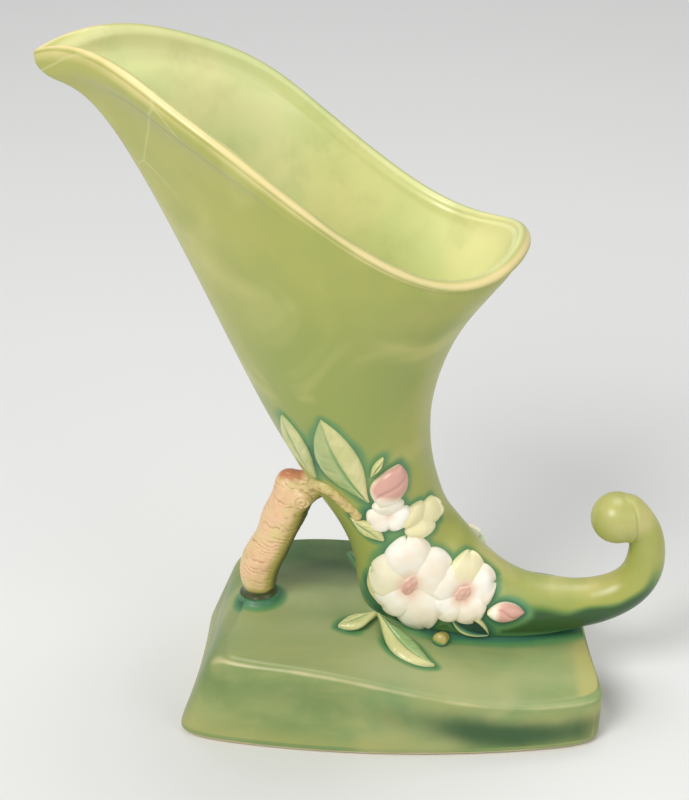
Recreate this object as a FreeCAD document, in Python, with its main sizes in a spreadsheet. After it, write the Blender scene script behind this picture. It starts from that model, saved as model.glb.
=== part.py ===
import FreeCAD, Part
import math
import os

# A glazed pottery cornucopia vase on a plinth, in millimetres.
# X runs from the tip of the mouth to the curled tail and Z is up. The vase is drawn about the centre of
# its foot, then moved so that the origin is under the middle of its box.

os.makedirs("parts", exist_ok=True)
V = FreeCAD.Vector
doc = FreeCAD.newDocument("cornucopia_vase")
sheet = doc.addObject("Spreadsheet::Sheet", "Sizes")

SIZES = {
    # Plinth
    "plinth_length": 121.0,
    "plinth_depth": 85.2,
    "end_flare": 2.0,
    "side_bow": 7.4,
    "front_stretch": 2.7,
    "crest_high": 26.9,
    "crest_low": 15.6,
    "mound_high_end": 1.5,
    "mound_low_end": 2.5,
    "crest_round": 1.6,
    "foot_round": 2.4,
    "plinth_wall": 4.6,
    "floor_recess": 3.0,
    "floor_thickness": 3.8,
    # Horn
    "horn_reach": 141.5,
    "horn_height": 185.4,
    "horn_setover": 1.2,
    "mouth_width": 80.8,
    "mouth_rise": 10.5,
    "horn_wall": 4.2,
    # Tail and its knob
    "tail_reach": 27.1,
    "curl_height": 32.6,
    "knob_radius": 7.9,
    # Branch that props the horn
    "branch_setback": 40.8,
    "branch_height": 42.0,
    "branch_radius": 6.0,
    "collar_radius": 7.6,
    "collar_height": 2.4,
    "cut_end_radius": 3.7,
    "cut_end_length": 2.6,
    "knot_radius": 2.9,
    "knot_length": 3.0,
    "twig_radius": 1.7,
    "stub_radius": 2.2,
    "stub_length": 4.5,
    # Sprigs
    "leaf_relief": 1.7,
    "petal_relief": 2.8,
    "bud_relief": 3.4,
    "blossom_radius": 13.5,
    "eye_radius": 2.8,
    "eye_height": 1.5,
    "sprig_root": 1.2,
}
for row, (name, value) in enumerate(SIZES.items(), 1):
    sheet.set("A%d" % row, name)
    sheet.set("B%d" % row, str(value))
    sheet.setAlias("B%d" % row, name)
doc.recompute()


def size(name):
    return float(getattr(sheet, name))


# Forms shared by several pieces


def between(a, b, share):
    return a + (b - a) * share


def steps(first, last, count):
    return [between(first, last, k / count) for k in range(count + 1)]


def middle(ring):
    total = V(0, 0, 0)
    for point in ring:
        total = total + point
    return total * (1 / len(ring))


def spline(points):
    """A smooth curve through the points, whose parameter runs from 0 to 1 in equal steps."""
    curve = Part.BSplineCurve()
    curve.interpolate(Points=points, Parameters=steps(0.0, 1.0, len(points) - 1))
    return curve


def outline(ring):
    return Part.makePolygon(ring + [ring[0]])


def level(*rings):
    """Whether the rings lie in one level plane, so that one flat face can join them."""
    heights = [point.z for ring in rings for point in ring]
    return min(len(ring) for ring in rings) > 1 and max(heights) == min(heights)


def skin(rings):
    """A solid whose skin runs through the rings in turn. A ring of one point closes an end.

    Two level rings in a row are joined by one flat face, and the first of them is the wider one."""
    faces = []

    def triangle(a, b, c):
        if (b - a).cross(c - a).Length > 1e-7:
            faces.append(Part.Face(outline([a, b, c])))

    for low, high in zip(rings, rings[1:]):
        if level(low, high):
            faces.append(Part.Face([outline(low), outline(high[::-1])]))
            continue
        count = max(len(low), len(high))
        for k in range(count):
            a, b = low[k % len(low)], low[(k + 1) % len(low)]
            d, c = high[k % len(high)], high[(k + 1) % len(high)]
            if len(low) > 1:
                triangle(a, b, c)
            if len(high) > 1:
                triangle(a, c, d)
    for ring in (rings[0], rings[-1]):
        if len(ring) > 1:
            faces.append(Part.Face(outline(ring)))
    shell = Part.makeShell(faces)
    shell.sewShape()
    solid = Part.makeSolid(shell)
    if solid.Volume < 0:
        solid.reverse()
    return solid


def feature(name, shape):
    form = doc.addObject("Part::Feature", name)
    form.Shape = shape
    return form


def cut(name, base, tool):
    form = doc.addObject("Part::Cut", name)
    form.Base = base
    form.Tool = tool
    return form


# Plinth: a bowed rectangle in plan with sloped flanks, a waved crest and a mounded top

PLINTH_SIDES = 56
CORNER_SHARPNESS_SHARE = 12.7
CORNER_CROWDING_SHARE = 0.18
END_SLOPE_SHARE = 0.173
SIDE_SLOPE_SHARE = 0.118
LEAN_SHARE = 0.224
WAVE_START_SHARE = -0.565
WAVE_END_SHARE = 0.835
TOP_RING_SHARES = (0.84, 0.62, 0.36, 0.14)
half_length = size("plinth_length") / 2
half_depth = size("plinth_depth") / 2


def plan_point(turn, z, inset=0.0):
    """A point of the plinth's flank at height z, moved inwards by inset."""
    c = math.cos(turn)
    s = math.sin(turn)
    n = CORNER_SHARPNESS_SHARE
    reach = (abs(c) ** n + abs(s) ** n) ** (-1 / n)
    u = c * reach
    v = s * reach
    end = half_length - inset - END_SLOPE_SHARE * z + size("end_flare") * v * v - size("front_stretch") * v
    side = half_depth - inset - SIDE_SLOPE_SHARE * z - size("side_bow") * u * u
    return V(end * u + LEAN_SHARE * z, side * v, z)


def plinth_turns():
    turns = [2 * math.pi * (k + 0.5) / PLINTH_SIDES for k in range(PLINTH_SIDES)]
    return [turn + CORNER_CROWDING_SHARE * math.sin(4 * turn) for turn in turns]


def wave(x):
    """0 at the high end of the plinth and 1 at the low end."""
    share = (x / half_length - WAVE_START_SHARE) / (WAVE_END_SHARE - WAVE_START_SHARE)
    return (1 - math.cos(math.pi * min(max(share, 0.0), 1.0))) / 2


def crest_height(x):
    return between(size("crest_high"), size("crest_low"), wave(x))


def crest_point(turn, inset=0.0):
    """Where the flank would meet the top if its edge were sharp."""
    point = plan_point(turn, size("crest_low"), inset)
    for _ in range(6):
        point = plan_point(turn, crest_height(point.x), inset)
    return point


def plinth_top(x, y):
    """Height of the plinth's mounded top over a place in plan."""
    mound = between(size("mound_high_end"), size("mound_low_end"), wave(x))
    return crest_height(x) + mound * max(1 - (y / half_depth) ** 2, 0.0)


def flank_ring(z, inset=0.0):
    return [plan_point(turn, z, inset) for turn in plinth_turns()]


def under_crest_ring(drop, inset=0.0):
    return [plan_point(turn, crest_point(turn).z - drop, inset) for turn in plinth_turns()]


def top_rings(wall=0.0):
    """Rings over the top from its edge to its middle, sunk by wall."""
    edge = [crest_point(turn, wall + size("crest_round")) for turn in plinth_turns()]
    centre = middle(edge)
    rings = []
    for share in (1.0,) + TOP_RING_SHARES + (0.0,):
        ring = [between(centre, point, share) for point in edge]
        rings.append([V(spot.x, spot.y, plinth_top(spot.x, spot.y) - wall) for spot in ring])
    rings[-1] = rings[-1][:1]
    return rings


ROUND_SHARES = (0.8, 0.25)
foot_round = size("foot_round")
crest_round = size("crest_round")
plinth_outside = [
    flank_ring(0.0, foot_round * ROUND_SHARES[0]),
    flank_ring(foot_round * ROUND_SHARES[1], foot_round * ROUND_SHARES[1]),
    flank_ring(foot_round),
    under_crest_ring(crest_round),
    under_crest_ring(crest_round * ROUND_SHARES[1], crest_round * ROUND_SHARES[1]),
] + top_rings()

cavity_inset = size("plinth_wall") + foot_round / 2
floor_low = size("floor_recess")
floor_high = floor_low + size("floor_thickness")
floor_rings = [flank_ring(z, cavity_inset) for z in (floor_low, floor_high)]
plinth_inside = [flank_ring(0.0, cavity_inset)] + floor_rings + top_rings(size("plinth_wall"))

plinth_core = feature("plinth_core", skin(plinth_outside))
plinth_shell = feature("plinth_shell", skin(plinth_outside[::-1] + plinth_inside))
plinth_floor = feature("plinth_floor", skin(floor_rings))


# Horn: ovals set across a bent axis, from the tail up to the S-shaped lip

HORN_SIDES = 40
POINTED_TIP_SHARE = 0.905
POINTED_TIP_POWER = 1.83
# How far the lip rises above its chord, in equal steps from its tip round to its low end.
MOUTH_RISE_SHARES = (0.0, 0.970, 0.925, 0.560, -0.215, -0.907, -1.042, 0.0)
# Along the horn from the tail to the lip. Each row places the underside and the upper side as shares of
# the horn's reach and height, then gives the half width as a share of the mouth's, and how far the
# oval has turned into the pointed mouth.
HORN_STATION_SHARES = [
    (0.348, 0.002, 0.352, 0.098, 0.218, 0.00),
    (0.215, -0.012, 0.253, 0.120, 0.268, 0.00),
    (0.060, -0.004, 0.186, 0.168, 0.317, 0.00),
    (-0.060, 0.048, 0.140, 0.213, 0.356, 0.00),
    (-0.087, 0.140, 0.110, 0.245, 0.381, 0.00),
    (-0.127, 0.224, 0.090, 0.289, 0.411, 0.00),
    (-0.191, 0.305, 0.074, 0.351, 0.485, 0.00),
    (-0.279, 0.436, 0.077, 0.448, 0.619, 0.03),
    (-0.379, 0.605, 0.122, 0.556, 0.779, 0.20),
    (-0.479, 0.772, 0.186, 0.633, 0.912, 0.48),
    (-0.594, 0.922, 0.230, 0.678, 0.975, 0.80),
    (-0.676, 0.966, 0.250, 0.703, 0.992, 0.94),
    (-0.707, 1.015, 0.2645, 0.727, 1.000, 1.00),
]
CAVITY_BOTTOM_SHARE = 0.333
LIP_START_SHARE = 0.945
OUTSIDE_STEPS = 28
CORE_STEPS = 21
seat_height = size("crest_low") + size("mound_low_end")


def horn_place(x_share, z_share):
    x = x_share * size("horn_reach") + size("horn_setover")
    return V(x, 0, seat_height + z_share * size("horn_height"))


underside = spline([horn_place(row[0], row[1]) for row in HORN_STATION_SHARES])
upper_side = spline([horn_place(row[2], row[3]) for row in HORN_STATION_SHARES])
# x holds the half width, y how far the mouth has opened
half_mouth = size("mouth_width") / 2
spreads = spline([V(row[4] * half_mouth, row[5], k) for k, row in enumerate(HORN_STATION_SHARES)])
rises = spline([V(k, 0, share * size("mouth_rise")) for k, share in enumerate(MOUTH_RISE_SHARES)])


def horn_point(along, across, side, grow=0.0, lift=0.0):
    """A point of the horn's skin: along from tail to lip, across from underside up, side -1 is the front."""
    low = underside.value(along)
    high = upper_side.value(along)
    spread = spreads.value(along)
    opened = min(max(spread.y, 0.0), 1.0)
    chord = (high - low).normalize()
    low = low - chord * grow * (1 + opened / 2)
    high = high + chord * grow
    width = (spread.x + grow) * 2 * math.sqrt(max(across * (1 - across), 0.0))
    if across < 0.5:
        width *= 1 - POINTED_TIP_SHARE * opened * (1 - 2 * across) ** POINTED_TIP_POWER
    point = low + (high - low) * across
    rise = opened * opened * rises.value(across).z
    return V(point.x, side * width, point.z + rise + lift)


def horn_ring(along, grow=0.0, lift=0.0):
    ring = []
    for k in range(HORN_SIDES):
        turn = 2 * math.pi * k / HORN_SIDES
        side = 1 if k < HORN_SIDES / 2 else -1
        ring.append(horn_point(along, (1 - math.cos(turn)) / 2, side, grow, lift))
    return ring


wall = size("horn_wall")
outside = [horn_ring(along) for along in steps(0.0, LIP_START_SHARE, OUTSIDE_STEPS)]
lip = []
for turn in steps(0.0, math.pi, 6):
    grow = -wall / 2 * (1 - math.cos(turn))
    lift = -wall / 2 * (1 - math.sin(turn))
    lip.append(horn_ring(1.0, grow, lift))
inside = [horn_ring(along, -wall) for along in steps(LIP_START_SHARE, CAVITY_BOTTOM_SHARE, 16)]

core_rings = outside[:CORE_STEPS]
horn_core = feature("horn_core", skin(core_rings + [[middle(core_rings[-1])]]))
horn_blank = feature("horn_blank", skin(outside + lip + inside))
horn_shell = cut("horn_shell", horn_blank, plinth_core)


# Tail: carries on from the horn's narrow end, rises and curls over to the knob

# Shares of the tail's reach and the curl's height, then the radius as a share of the knob's.
TAIL_STATION_SHARES = [
    (0.00, 0.00, 1.12),
    (0.25, 0.02, 0.97),
    (0.53, 0.08, 0.89),
    (0.80, 0.205, 0.81),
    (0.965, 0.41, 0.76),
    (1.00, 0.64, 0.70),
    (0.97, 0.82, 0.63),
    (0.86, 0.955, 0.66),
    (0.68, 1.00, 0.80),
]
KNOB_PLACE_SHARES = (0.642, 0.975)
tail_root = middle(horn_ring(0.0))


def tail_place(x_share, z_share):
    return tail_root + V(x_share * size("tail_reach"), 0, z_share * size("curl_height"))


def round_ring(centre, heading, radius, sides):
    """A circle of points square to a heading that lies in the XZ plane, from below round the back."""
    up = V(-heading.z, 0, heading.x).normalize()
    ring = []
    for k in range(sides):
        turn = 2 * math.pi * k / sides
        ring.append(centre - up * (radius * math.cos(turn)) + V(0, radius * math.sin(turn), 0))
    return ring


tail_path = spline([tail_place(row[0], row[1]) for row in TAIL_STATION_SHARES])
tail_radii = spline([V(row[2] * size("knob_radius"), k, 0) for k, row in enumerate(TAIL_STATION_SHARES)])
tail_rings = [horn_ring(0.0)]
for along in steps(0.0, 1.0, 13)[1:]:
    heading = tail_path.tangent(along)[0]
    tail_rings.append(round_ring(tail_path.value(along), heading, tail_radii.value(along).x, HORN_SIDES))


def ball(centre, radius, sides, bands):
    rings = [[centre - V(0, 0, radius)]]
    for lean in steps(-math.pi / 2, math.pi / 2, bands)[1:-1]:
        level = centre + V(0, 0, radius * math.sin(lean))
        rings.append(round_ring(level, V(0, 0, 1), radius * math.cos(lean), sides))
    return skin(rings + [[centre + V(0, 0, radius)]])


tail_knob = feature("tail_knob", ball(tail_place(*KNOB_PLACE_SHARES), size("knob_radius"), 20, 10))
tail_blank = feature("tail_blank", skin(tail_rings))
tail_seated = cut("tail_seated", tail_blank, tail_knob)
tail_scroll = cut("tail_scroll", tail_seated, plinth_core)


# Branch: a gnarled leg from the plinth to the horn's underside, with sawn-off shoots

BRANCH_SIDES = 16
STUB_SIDES = 12
# Shares of the branch's height, then the radius as a share of the branch's.
BRANCH_STATION_SHARES = [
    (0.000, -0.05, 0.84),
    (0.005, 0.13, 0.92),
    (0.030, 0.30, 1.03),
    (0.115, 0.51, 0.97),
    (0.200, 0.715, 1.06),
    (0.247, 0.84, 1.03),
    (0.246, 0.945, 0.78),
]
ELBOW_STATION_SHARES = [
    (0.235, 0.86, 0.70),
    (0.355, 0.93, 0.80),
    (0.480, 1.02, 0.74),
    (0.600, 1.10, 0.62),
]
KNOT_PLACE_SHARES = (0.350, 0.93)
foot_x = -size("branch_setback")
branch_foot = V(foot_x, 0, plinth_top(foot_x, 0))


def branch_place(x_share, z_share):
    return branch_foot + V(x_share, 0, z_share) * size("branch_height")


def round_bar(stations, count):
    path = spline([branch_place(row[0], row[1]) for row in stations])
    radii = spline([V(row[2] * size("branch_radius"), k, 0) for k, row in enumerate(stations)])
    rings = []
    for along in steps(0.0, 1.0, count):
        heading = path.tangent(along)[0]
        rings.append(round_ring(path.value(along), heading, radii.value(along).x, BRANCH_SIDES))
    return skin(rings)


def frustum(name, place, heading, wide, narrow, length):
    far = place + V(heading) * (length / heading.Length)
    rings = [round_ring(place, heading, wide, BRANCH_SIDES), round_ring(far, heading, narrow, BRANCH_SIDES)]
    return feature(name, skin(rings))


def stub(name, place, heading, radius, length):
    """A short bar with flats from a place towards a heading; its sizes are sheet expressions."""
    form = doc.addObject("Part::Prism", name)
    form.Polygon = STUB_SIDES
    form.setExpression("Circumradius", radius)
    form.setExpression("Height", length)
    form.Placement = FreeCAD.Placement(place, FreeCAD.Rotation(V(0, 0, 1), heading))
    return form


SIDEWAYS_FRONT = V(0, -1, 0)
UPWARDS = V(0, 0, 1)
CUT_END_HEADING = V(-0.15, 0, 0.9)
branch_leg = cut("branch_leg", feature("leg_blank", round_bar(BRANCH_STATION_SHARES, 14)), plinth_core)
elbow_on_leg = cut("elbow_on_leg", feature("elbow_blank", round_bar(ELBOW_STATION_SHARES, 6)), branch_leg)
branch_elbow = cut("branch_elbow", elbow_on_leg, horn_core)

cut_end_place = branch_place(*BRANCH_STATION_SHARES[-1][:2])
cut_end_blank = frustum(
    "cut_end_blank",
    cut_end_place - CUT_END_HEADING * size("sprig_root"),
    CUT_END_HEADING,
    size("branch_radius") * BRANCH_STATION_SHARES[-1][2],
    size("cut_end_radius"),
    size("cut_end_length") + size("sprig_root"),
)
cut_end_on_leg = cut("cut_end_on_leg", cut_end_blank, branch_leg)
cut_end_on_elbow = cut("cut_end_on_elbow", cut_end_on_leg, branch_elbow)
branch_cut_end = cut("branch_cut_end", cut_end_on_elbow, horn_core)

knot_blank = stub(
    "knot_blank",
    branch_place(*KNOT_PLACE_SHARES),
    SIDEWAYS_FRONT,
    "Sizes.knot_radius",
    "Sizes.knot_length + Sizes.branch_radius * 0.8",
)
knot_on_elbow = cut("knot_on_elbow", knot_blank, branch_elbow)
knot_on_leg = cut("knot_on_leg", knot_on_elbow, branch_leg)
branch_knot = cut("branch_knot", knot_on_leg, horn_core)

collar_blank = frustum(
    "collar_blank",
    branch_foot - UPWARDS * size("sprig_root"),
    UPWARDS,
    size("collar_radius"),
    size("branch_radius"),
    size("collar_height") + size("sprig_root"),
)
collar_on_plinth = cut("collar_on_plinth", collar_blank, plinth_core)
branch_collar = cut("branch_collar", collar_on_plinth, branch_leg)
doc.recompute()


# Beds: where a sprig's points lie once it is pressed on. A spot holds x and z on the horn seen from one
# side, x and y on the plinth, and a length and a width along a path.

EDGE_SHARE = 0.1


def horn_spot(along, across):
    spot = between(underside.value(along), upper_side.value(along), across)
    return V(spot.x, spot.z, 0)


def on_horn(spot, height, side):
    """The place of the horn's skin seen at a spot, raised by height."""
    near, far = 0.0, 8 / 12
    for _ in range(24):
        along = (near + far) / 2
        low = underside.value(along)
        high = upper_side.value(along)
        if (high.x - low.x) * (spot.y - low.z) > (high.z - low.z) * (spot.x - low.x):
            near = along
        else:
            far = along
    chord = high - low
    across = ((spot.x - low.x) * chord.x + (spot.y - low.z) * chord.z) / chord.Length ** 2
    held = min(max(across, EDGE_SHARE), 1 - EDGE_SHARE)
    flush = horn_point(along, held, side)
    raised = horn_point(along, held, side, height)
    return V(spot.x + raised.x - flush.x, raised.y, spot.y + raised.z - flush.z)


def horn_front(spot, height):
    return on_horn(spot, height, -1)


def horn_back(spot, height):
    return on_horn(spot, height, 1)


def plinth_bed(spot, height):
    return V(spot.x, spot.y, plinth_top(spot.x, spot.y) + height)


def plinth_spot(x_share, y_share):
    return V(x_share * half_length, y_share * half_depth, 0)


def path_bed(points):
    """A bed that follows a smooth path, flat across it."""
    path = spline(points)
    length = path.length()

    def bed(spot, height):
        along = min(max(spot.x / length, 0.0), 1.0)
        heading = path.tangent(along)[0]
        across = V(heading.y, -heading.x, 0).normalize()
        up = across.cross(heading)
        return path.value(along) - across * spot.y + up * height

    return bed, V(0, 0, 0), V(length, 0, 0)


# Sprigs: leaves, buds and blossoms pressed on to the horn and the plinth

LEAF_PLAN_SHARES = (0.30, 0.72, 0.98, 1.0, 0.80, 0.42)
BUD_PLAN_SHARES = (0.55, 0.88, 1.0, 0.95, 0.78, 0.48)
LENGTHWISE_SHARES = (0.6, 0.9, 1.0, 1.0, 0.85, 0.6)
LEAF_CROSS_SHARES = ((-1.0, 0.35), (-0.6, 1.0), (0.0, 0.6), (0.6, 1.0), (1.0, 0.35))
BUD_CROSS_SHARES = ((-1.0, 0.2), (-0.65, 0.8), (0.0, 1.0), (0.65, 0.8), (1.0, 0.2))
TWIG_CROSS_SHARES = ((-1.0, 0.1), (-0.7, 0.7), (0.0, 1.0), (0.7, 0.7), (1.0, 0.1))
END_HEIGHT_SHARE = 0.3
PETAL_PROFILE_SHARES = ((0.3, 0.62), (0.6, 1.0), (0.86, 0.78), (1.0, 0.34))
PETAL_NOTCH_SHARE = 0.30
PETAL_GROOVE_SHARE = 0.45
PETAL_SIDES = 6
DIMPLE_SHARE = 0.3


def long_sprig(bed, base, tip, width_share, relief, plan, cross, bend_share=0.0):
    """A sprig with pointed ends, laid over its bed from base to tip."""
    run = tip - base
    square = V(-run.y, run.x, 0)
    root = -size("sprig_root")
    rings = [[bed(base, relief * END_HEIGHT_SHARE)]]
    for k, half in enumerate(plan):
        share = (k + 0.6) / (len(plan) + 0.2)
        spine = base + run * share + square * (bend_share * math.sin(math.pi * share))
        reach = square * (half * width_share / 2)
        tall = LENGTHWISE_SHARES[k] * relief
        ring = [bed(spine + reach * out, tall * high) for out, high in cross]
        ring = ring + [bed(spine + reach * out, root) for out in (1.0, 0.0, -1.0)]
        rings.append(ring)
    rings.append([bed(tip, relief * END_HEIGHT_SHARE)])
    return skin(rings)


def leaf(bed, base, tip, width_share, bend_share=0.0):
    relief = size("leaf_relief")
    return long_sprig(bed, base, tip, width_share, relief, LEAF_PLAN_SHARES, LEAF_CROSS_SHARES, bend_share)


def bud(bed, base, tip, width_share):
    return long_sprig(bed, base, tip, width_share, size("bud_relief"), BUD_PLAN_SHARES, BUD_CROSS_SHARES)


def blossom(bed, centre, scale, petals, turn, stretch_share=0.0):
    """A domed disc, grooved and drawn in between its petals, with a dimple in the middle."""
    sides = PETAL_SIDES * petals
    radius = scale * size("blossom_radius")
    relief = size("petal_relief") * min(scale + 0.25, 1.0)

    def gap(k):
        return 1 - abs(math.cos(petals * math.pi * k / sides)) ** 0.6

    def rim(k, reach):
        angle = 2 * math.pi * k / sides + turn
        out = radius * reach * (1 - PETAL_NOTCH_SHARE * gap(k) * reach)
        return centre + V(math.cos(angle), math.sin(angle) * (1 + stretch_share), 0) * out

    rings = [[bed(centre, relief * DIMPLE_SHARE)]]
    for reach, tall in PETAL_PROFILE_SHARES:
        heights = [relief * tall * (1 - PETAL_GROOVE_SHARE * gap(k) * reach) for k in range(sides)]
        rings.append([bed(rim(k, reach), heights[k]) for k in range(sides)])
    rings.append([bed(rim(k, 1.0), -size("sprig_root")) for k in range(sides)])
    rings.append([bed(centre, -size("sprig_root"))])
    return skin(rings)


def eye(name, bed, centre):
    """The button in the middle of a blossom."""
    place = bed(centre, 0.0)
    heading = bed(centre, 1.0) - place
    return stub(name, place, heading, "Sizes.eye_radius", "Sizes.petal_relief * 0.3 + Sizes.eye_height")


placed = []


def touches(a, b):
    return a.Shape.BoundBox.intersect(b.Shape.BoundBox)


def seat(name, blank, *over):
    """Cuts a blank to lie on the horn, the plinth and the sprigs that were placed before it."""
    doc.recompute()
    tools = [tool for tool in [horn_core, plinth_core] + list(over) + placed if touches(blank, tool)]
    form = blank
    for k, tool in enumerate(tools, 1):
        label = name if k == len(tools) else "%s_cut_%d" % (name, k)
        form = cut(label, form, tool)
    doc.recompute()
    placed.append(form)
    return form


def sprig(name, shape, *over):
    return seat(name, feature(name + "_blank", shape), *over)


BRANCH_PIECES = (branch_leg, branch_elbow, branch_knot)

# Front spray
main_centre = horn_spot(0.262, 0.50)
right_centre = horn_spot(0.167, 0.68)
sprig("blossom_main", blossom(horn_front, main_centre, 1.0, 5, 0.35, 0.15))
seat("blossom_main_eye", eye("main_eye_blank", horn_front, main_centre))
sprig("blossom_right", blossom(horn_front, right_centre, 0.72, 5, 0.1, 0.25))
seat("blossom_right_eye", eye("right_eye_blank", horn_front, right_centre))
sprig("blossom_top", blossom(horn_front, horn_spot(0.435, 0.56), 0.50, 3, 1.6))
sprig("blossom_side", blossom(horn_front, horn_spot(0.385, 0.80), 0.48, 3, 0.4))
sprig("bud_top", bud(horn_front, horn_spot(0.462, 0.54), horn_spot(0.527, 0.78), 0.72))
sprig("bud_right", bud(horn_front, horn_spot(0.112, 0.58), horn_spot(0.052, 0.66), 0.55))
sprig("leaf_upper_main", leaf(horn_front, horn_spot(0.475, 0.475), horn_spot(0.602, 0.395), 0.36, 0.06))
sprig("leaf_upper_left", leaf(horn_front, horn_spot(0.520, 0.175), horn_spot(0.596, 0.175), 0.26, 0.03))
sprig("leaf_sliver", leaf(horn_front, horn_spot(0.522, 0.57), horn_spot(0.547, 0.688), 0.30))
sprig("leaf_side", leaf(horn_front, horn_spot(0.446, 0.245), horn_spot(0.382, 0.42), 0.42))
sprig("leaf_sepal", leaf(horn_front, horn_spot(0.238, 0.205), horn_spot(0.338, 0.245), 0.48))
sprig("leaf_loop", leaf(horn_front, horn_spot(0.165, 0.45), horn_spot(0.095, 0.27), 0.5))
foot_leaf_root = horn_front(horn_spot(0.247, 0.13), size("sprig_root"))
small_path = [foot_leaf_root, plinth_bed(plinth_spot(-0.17, -0.29), size("sprig_root"))]
small_path = small_path + [plinth_bed(plinth_spot(-0.26, -0.34), 0.0)]
sprig("leaf_foot_small", leaf(*path_bed(small_path), 0.5))
long_path = [foot_leaf_root, plinth_bed(plinth_spot(0.03, -0.40), size("sprig_root"))]
long_path = long_path + [plinth_bed(plinth_spot(0.12, -0.53), 0.0), plinth_bed(plinth_spot(0.23, -0.61), 0.0)]
sprig("leaf_foot_long", leaf(*path_bed(long_path), 0.34))
stub_place = plinth_bed(plinth_spot(0.27, -0.27), 0.0)
stub_heading = V(-0.3, -0.85, 0.45)
seat("stem_stub", stub("stub_blank", stub_place, stub_heading, "Sizes.stub_radius", "Sizes.stub_length"))

# Twig that runs on from the branch over the horn's front
TWIG_SPOT_SHARES = ((0.497, 0.06), (0.503, 0.20), (0.477, 0.271), (0.440, 0.315))
TWIG_GIRTH_SHARES = (1.25, 1.1, 1.0, 0.95, 0.9, 0.8)
twig_points = [horn_front(horn_spot(*row), 0.0) for row in TWIG_SPOT_SHARES]
twig_path = spline(twig_points)
twig_rings = []
for k, along in enumerate(steps(0.0, 1.0, len(TWIG_GIRTH_SHARES) - 1)):
    place = twig_path.value(along)
    heading = twig_path.tangent(along)[0]
    out = horn_front(V(place.x, place.z, 0), 1.0) - horn_front(V(place.x, place.z, 0), 0.0)
    across = heading.cross(out).normalize()
    out = across.cross(heading)
    radius = TWIG_GIRTH_SHARES[k] * size("twig_radius")
    ring = []
    for j in range(10):
        turn = 2 * math.pi * j / 10
        ring.append(place + across * (radius * math.cos(turn)) + out * (radius * math.sin(turn)))
    twig_rings.append(ring)
sprig("branch_twig", skin(twig_rings), *BRANCH_PIECES)

# Back spray
back_centre = horn_spot(0.185, 0.70)
sprig("back_blossom", blossom(horn_back, back_centre, 0.80, 5, 0.7))
seat("back_blossom_eye", eye("back_eye_blank", horn_back, back_centre))
sprig("back_bud", bud(horn_back, horn_spot(0.262, 0.66), horn_spot(0.330, 0.78), 0.62))
sprig("back_leaf_upper", leaf(horn_back, horn_spot(0.270, 0.48), horn_spot(0.430, 0.45), 0.36, 0.05))
sprig("back_leaf_lower", leaf(horn_back, horn_spot(0.205, 0.38), horn_spot(0.262, 0.14), 0.42))
back_path = [horn_back(horn_spot(0.175, 0.30), size("sprig_root"))]
back_path = back_path + [plinth_bed(plinth_spot(0.02, 0.40), size("sprig_root"))]
back_path = back_path + [plinth_bed(plinth_spot(-0.10, 0.54), 0.0), plinth_bed(plinth_spot(-0.21, 0.66), 0.0)]
sprig("back_leaf_foot", leaf(*path_bed(back_path), 0.34))


# Every piece is checked, then written on its own; crumbs that a cut leaves behind are dropped

doc.recompute()
pieces = [horn_shell, tail_scroll, tail_knob, plinth_shell, plinth_floor, branch_leg, branch_elbow]
pieces = pieces + [branch_cut_end, branch_knot, branch_collar] + placed
for form in doc.Objects:
    if "Invalid" in form.State or "Error" in form.State:
        raise RuntimeError("%s is %s" % (form.Name, form.State))
box = FreeCAD.BoundBox()
for piece in pieces:
    box.add(piece.Shape.BoundBox)
shift = V(-box.Center.x, -box.Center.y, 0)
for piece in pieces:
    piece.Label = piece.Name
    solids = sorted(piece.Shape.Solids, key=lambda solid: solid.Volume)
    if not solids or not solids[-1].isValid():
        raise RuntimeError("%s has no sound solid" % piece.Label)
    solids[-1].translated(shift).exportStep("parts/%s.step" % piece.Label)
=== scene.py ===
import math

import bpy
import numpy as np
import openvdb
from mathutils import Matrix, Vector
from mathutils.bvhtree import BVHTree
from mathutils.kdtree import KDTree


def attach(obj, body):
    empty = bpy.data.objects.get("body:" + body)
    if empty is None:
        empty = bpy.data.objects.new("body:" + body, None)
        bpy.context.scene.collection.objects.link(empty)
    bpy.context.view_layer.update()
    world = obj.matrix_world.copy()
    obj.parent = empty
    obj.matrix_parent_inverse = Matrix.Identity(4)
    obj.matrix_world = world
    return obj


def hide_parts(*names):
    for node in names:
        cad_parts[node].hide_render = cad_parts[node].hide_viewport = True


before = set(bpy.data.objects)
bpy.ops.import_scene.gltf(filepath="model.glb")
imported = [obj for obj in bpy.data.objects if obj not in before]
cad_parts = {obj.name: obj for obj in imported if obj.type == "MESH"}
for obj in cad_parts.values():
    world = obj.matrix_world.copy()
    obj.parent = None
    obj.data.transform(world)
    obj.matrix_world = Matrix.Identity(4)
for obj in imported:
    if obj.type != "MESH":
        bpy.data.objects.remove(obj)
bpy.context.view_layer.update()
scene = bpy.context.scene

# Lengths are in millimetres in the vase's own frame until a piece is made.
SHIFT = np.array([7.718, 0.0, 0.0])
FAR = 50.0

HALF_LENGTH = 60.5
HALF_DEPTH = 42.6
PLAN_POWER = 12.7
END_FLARE = 2.0
SIDE_BOW = 7.4
FRONT_STRETCH = 2.7
END_DRAFT = 0.173
SIDE_DRAFT = 0.118
WALL_LEAN = 0.224
CREST_HIGH = 26.9
CREST_LOW = 15.6
MOUND_HIGH_END = 1.5
MOUND_LOW_END = 2.5
CREST_ROUND = 1.6
FOOT_ROUND = 2.4
UNDERSIDE = 3.0

HORN_REACH = 141.5
HORN_HEIGHT = 185.4
HORN_SETOVER = 1.2
MOUTH_WIDTH = 80.8
MOUTH_RISE = 10.5
WALL = 4.2
SEAT = CREST_LOW + MOUND_LOW_END
LIP_START, LIP_SPAN = 0.945, 0.055
CAVITY_END = 0.333
TAIL_REACH = 27.1
CURL_HEIGHT = 32.6
KNOB_RADIUS = 7.9
KNOB_BLEND = 4.0

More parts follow.
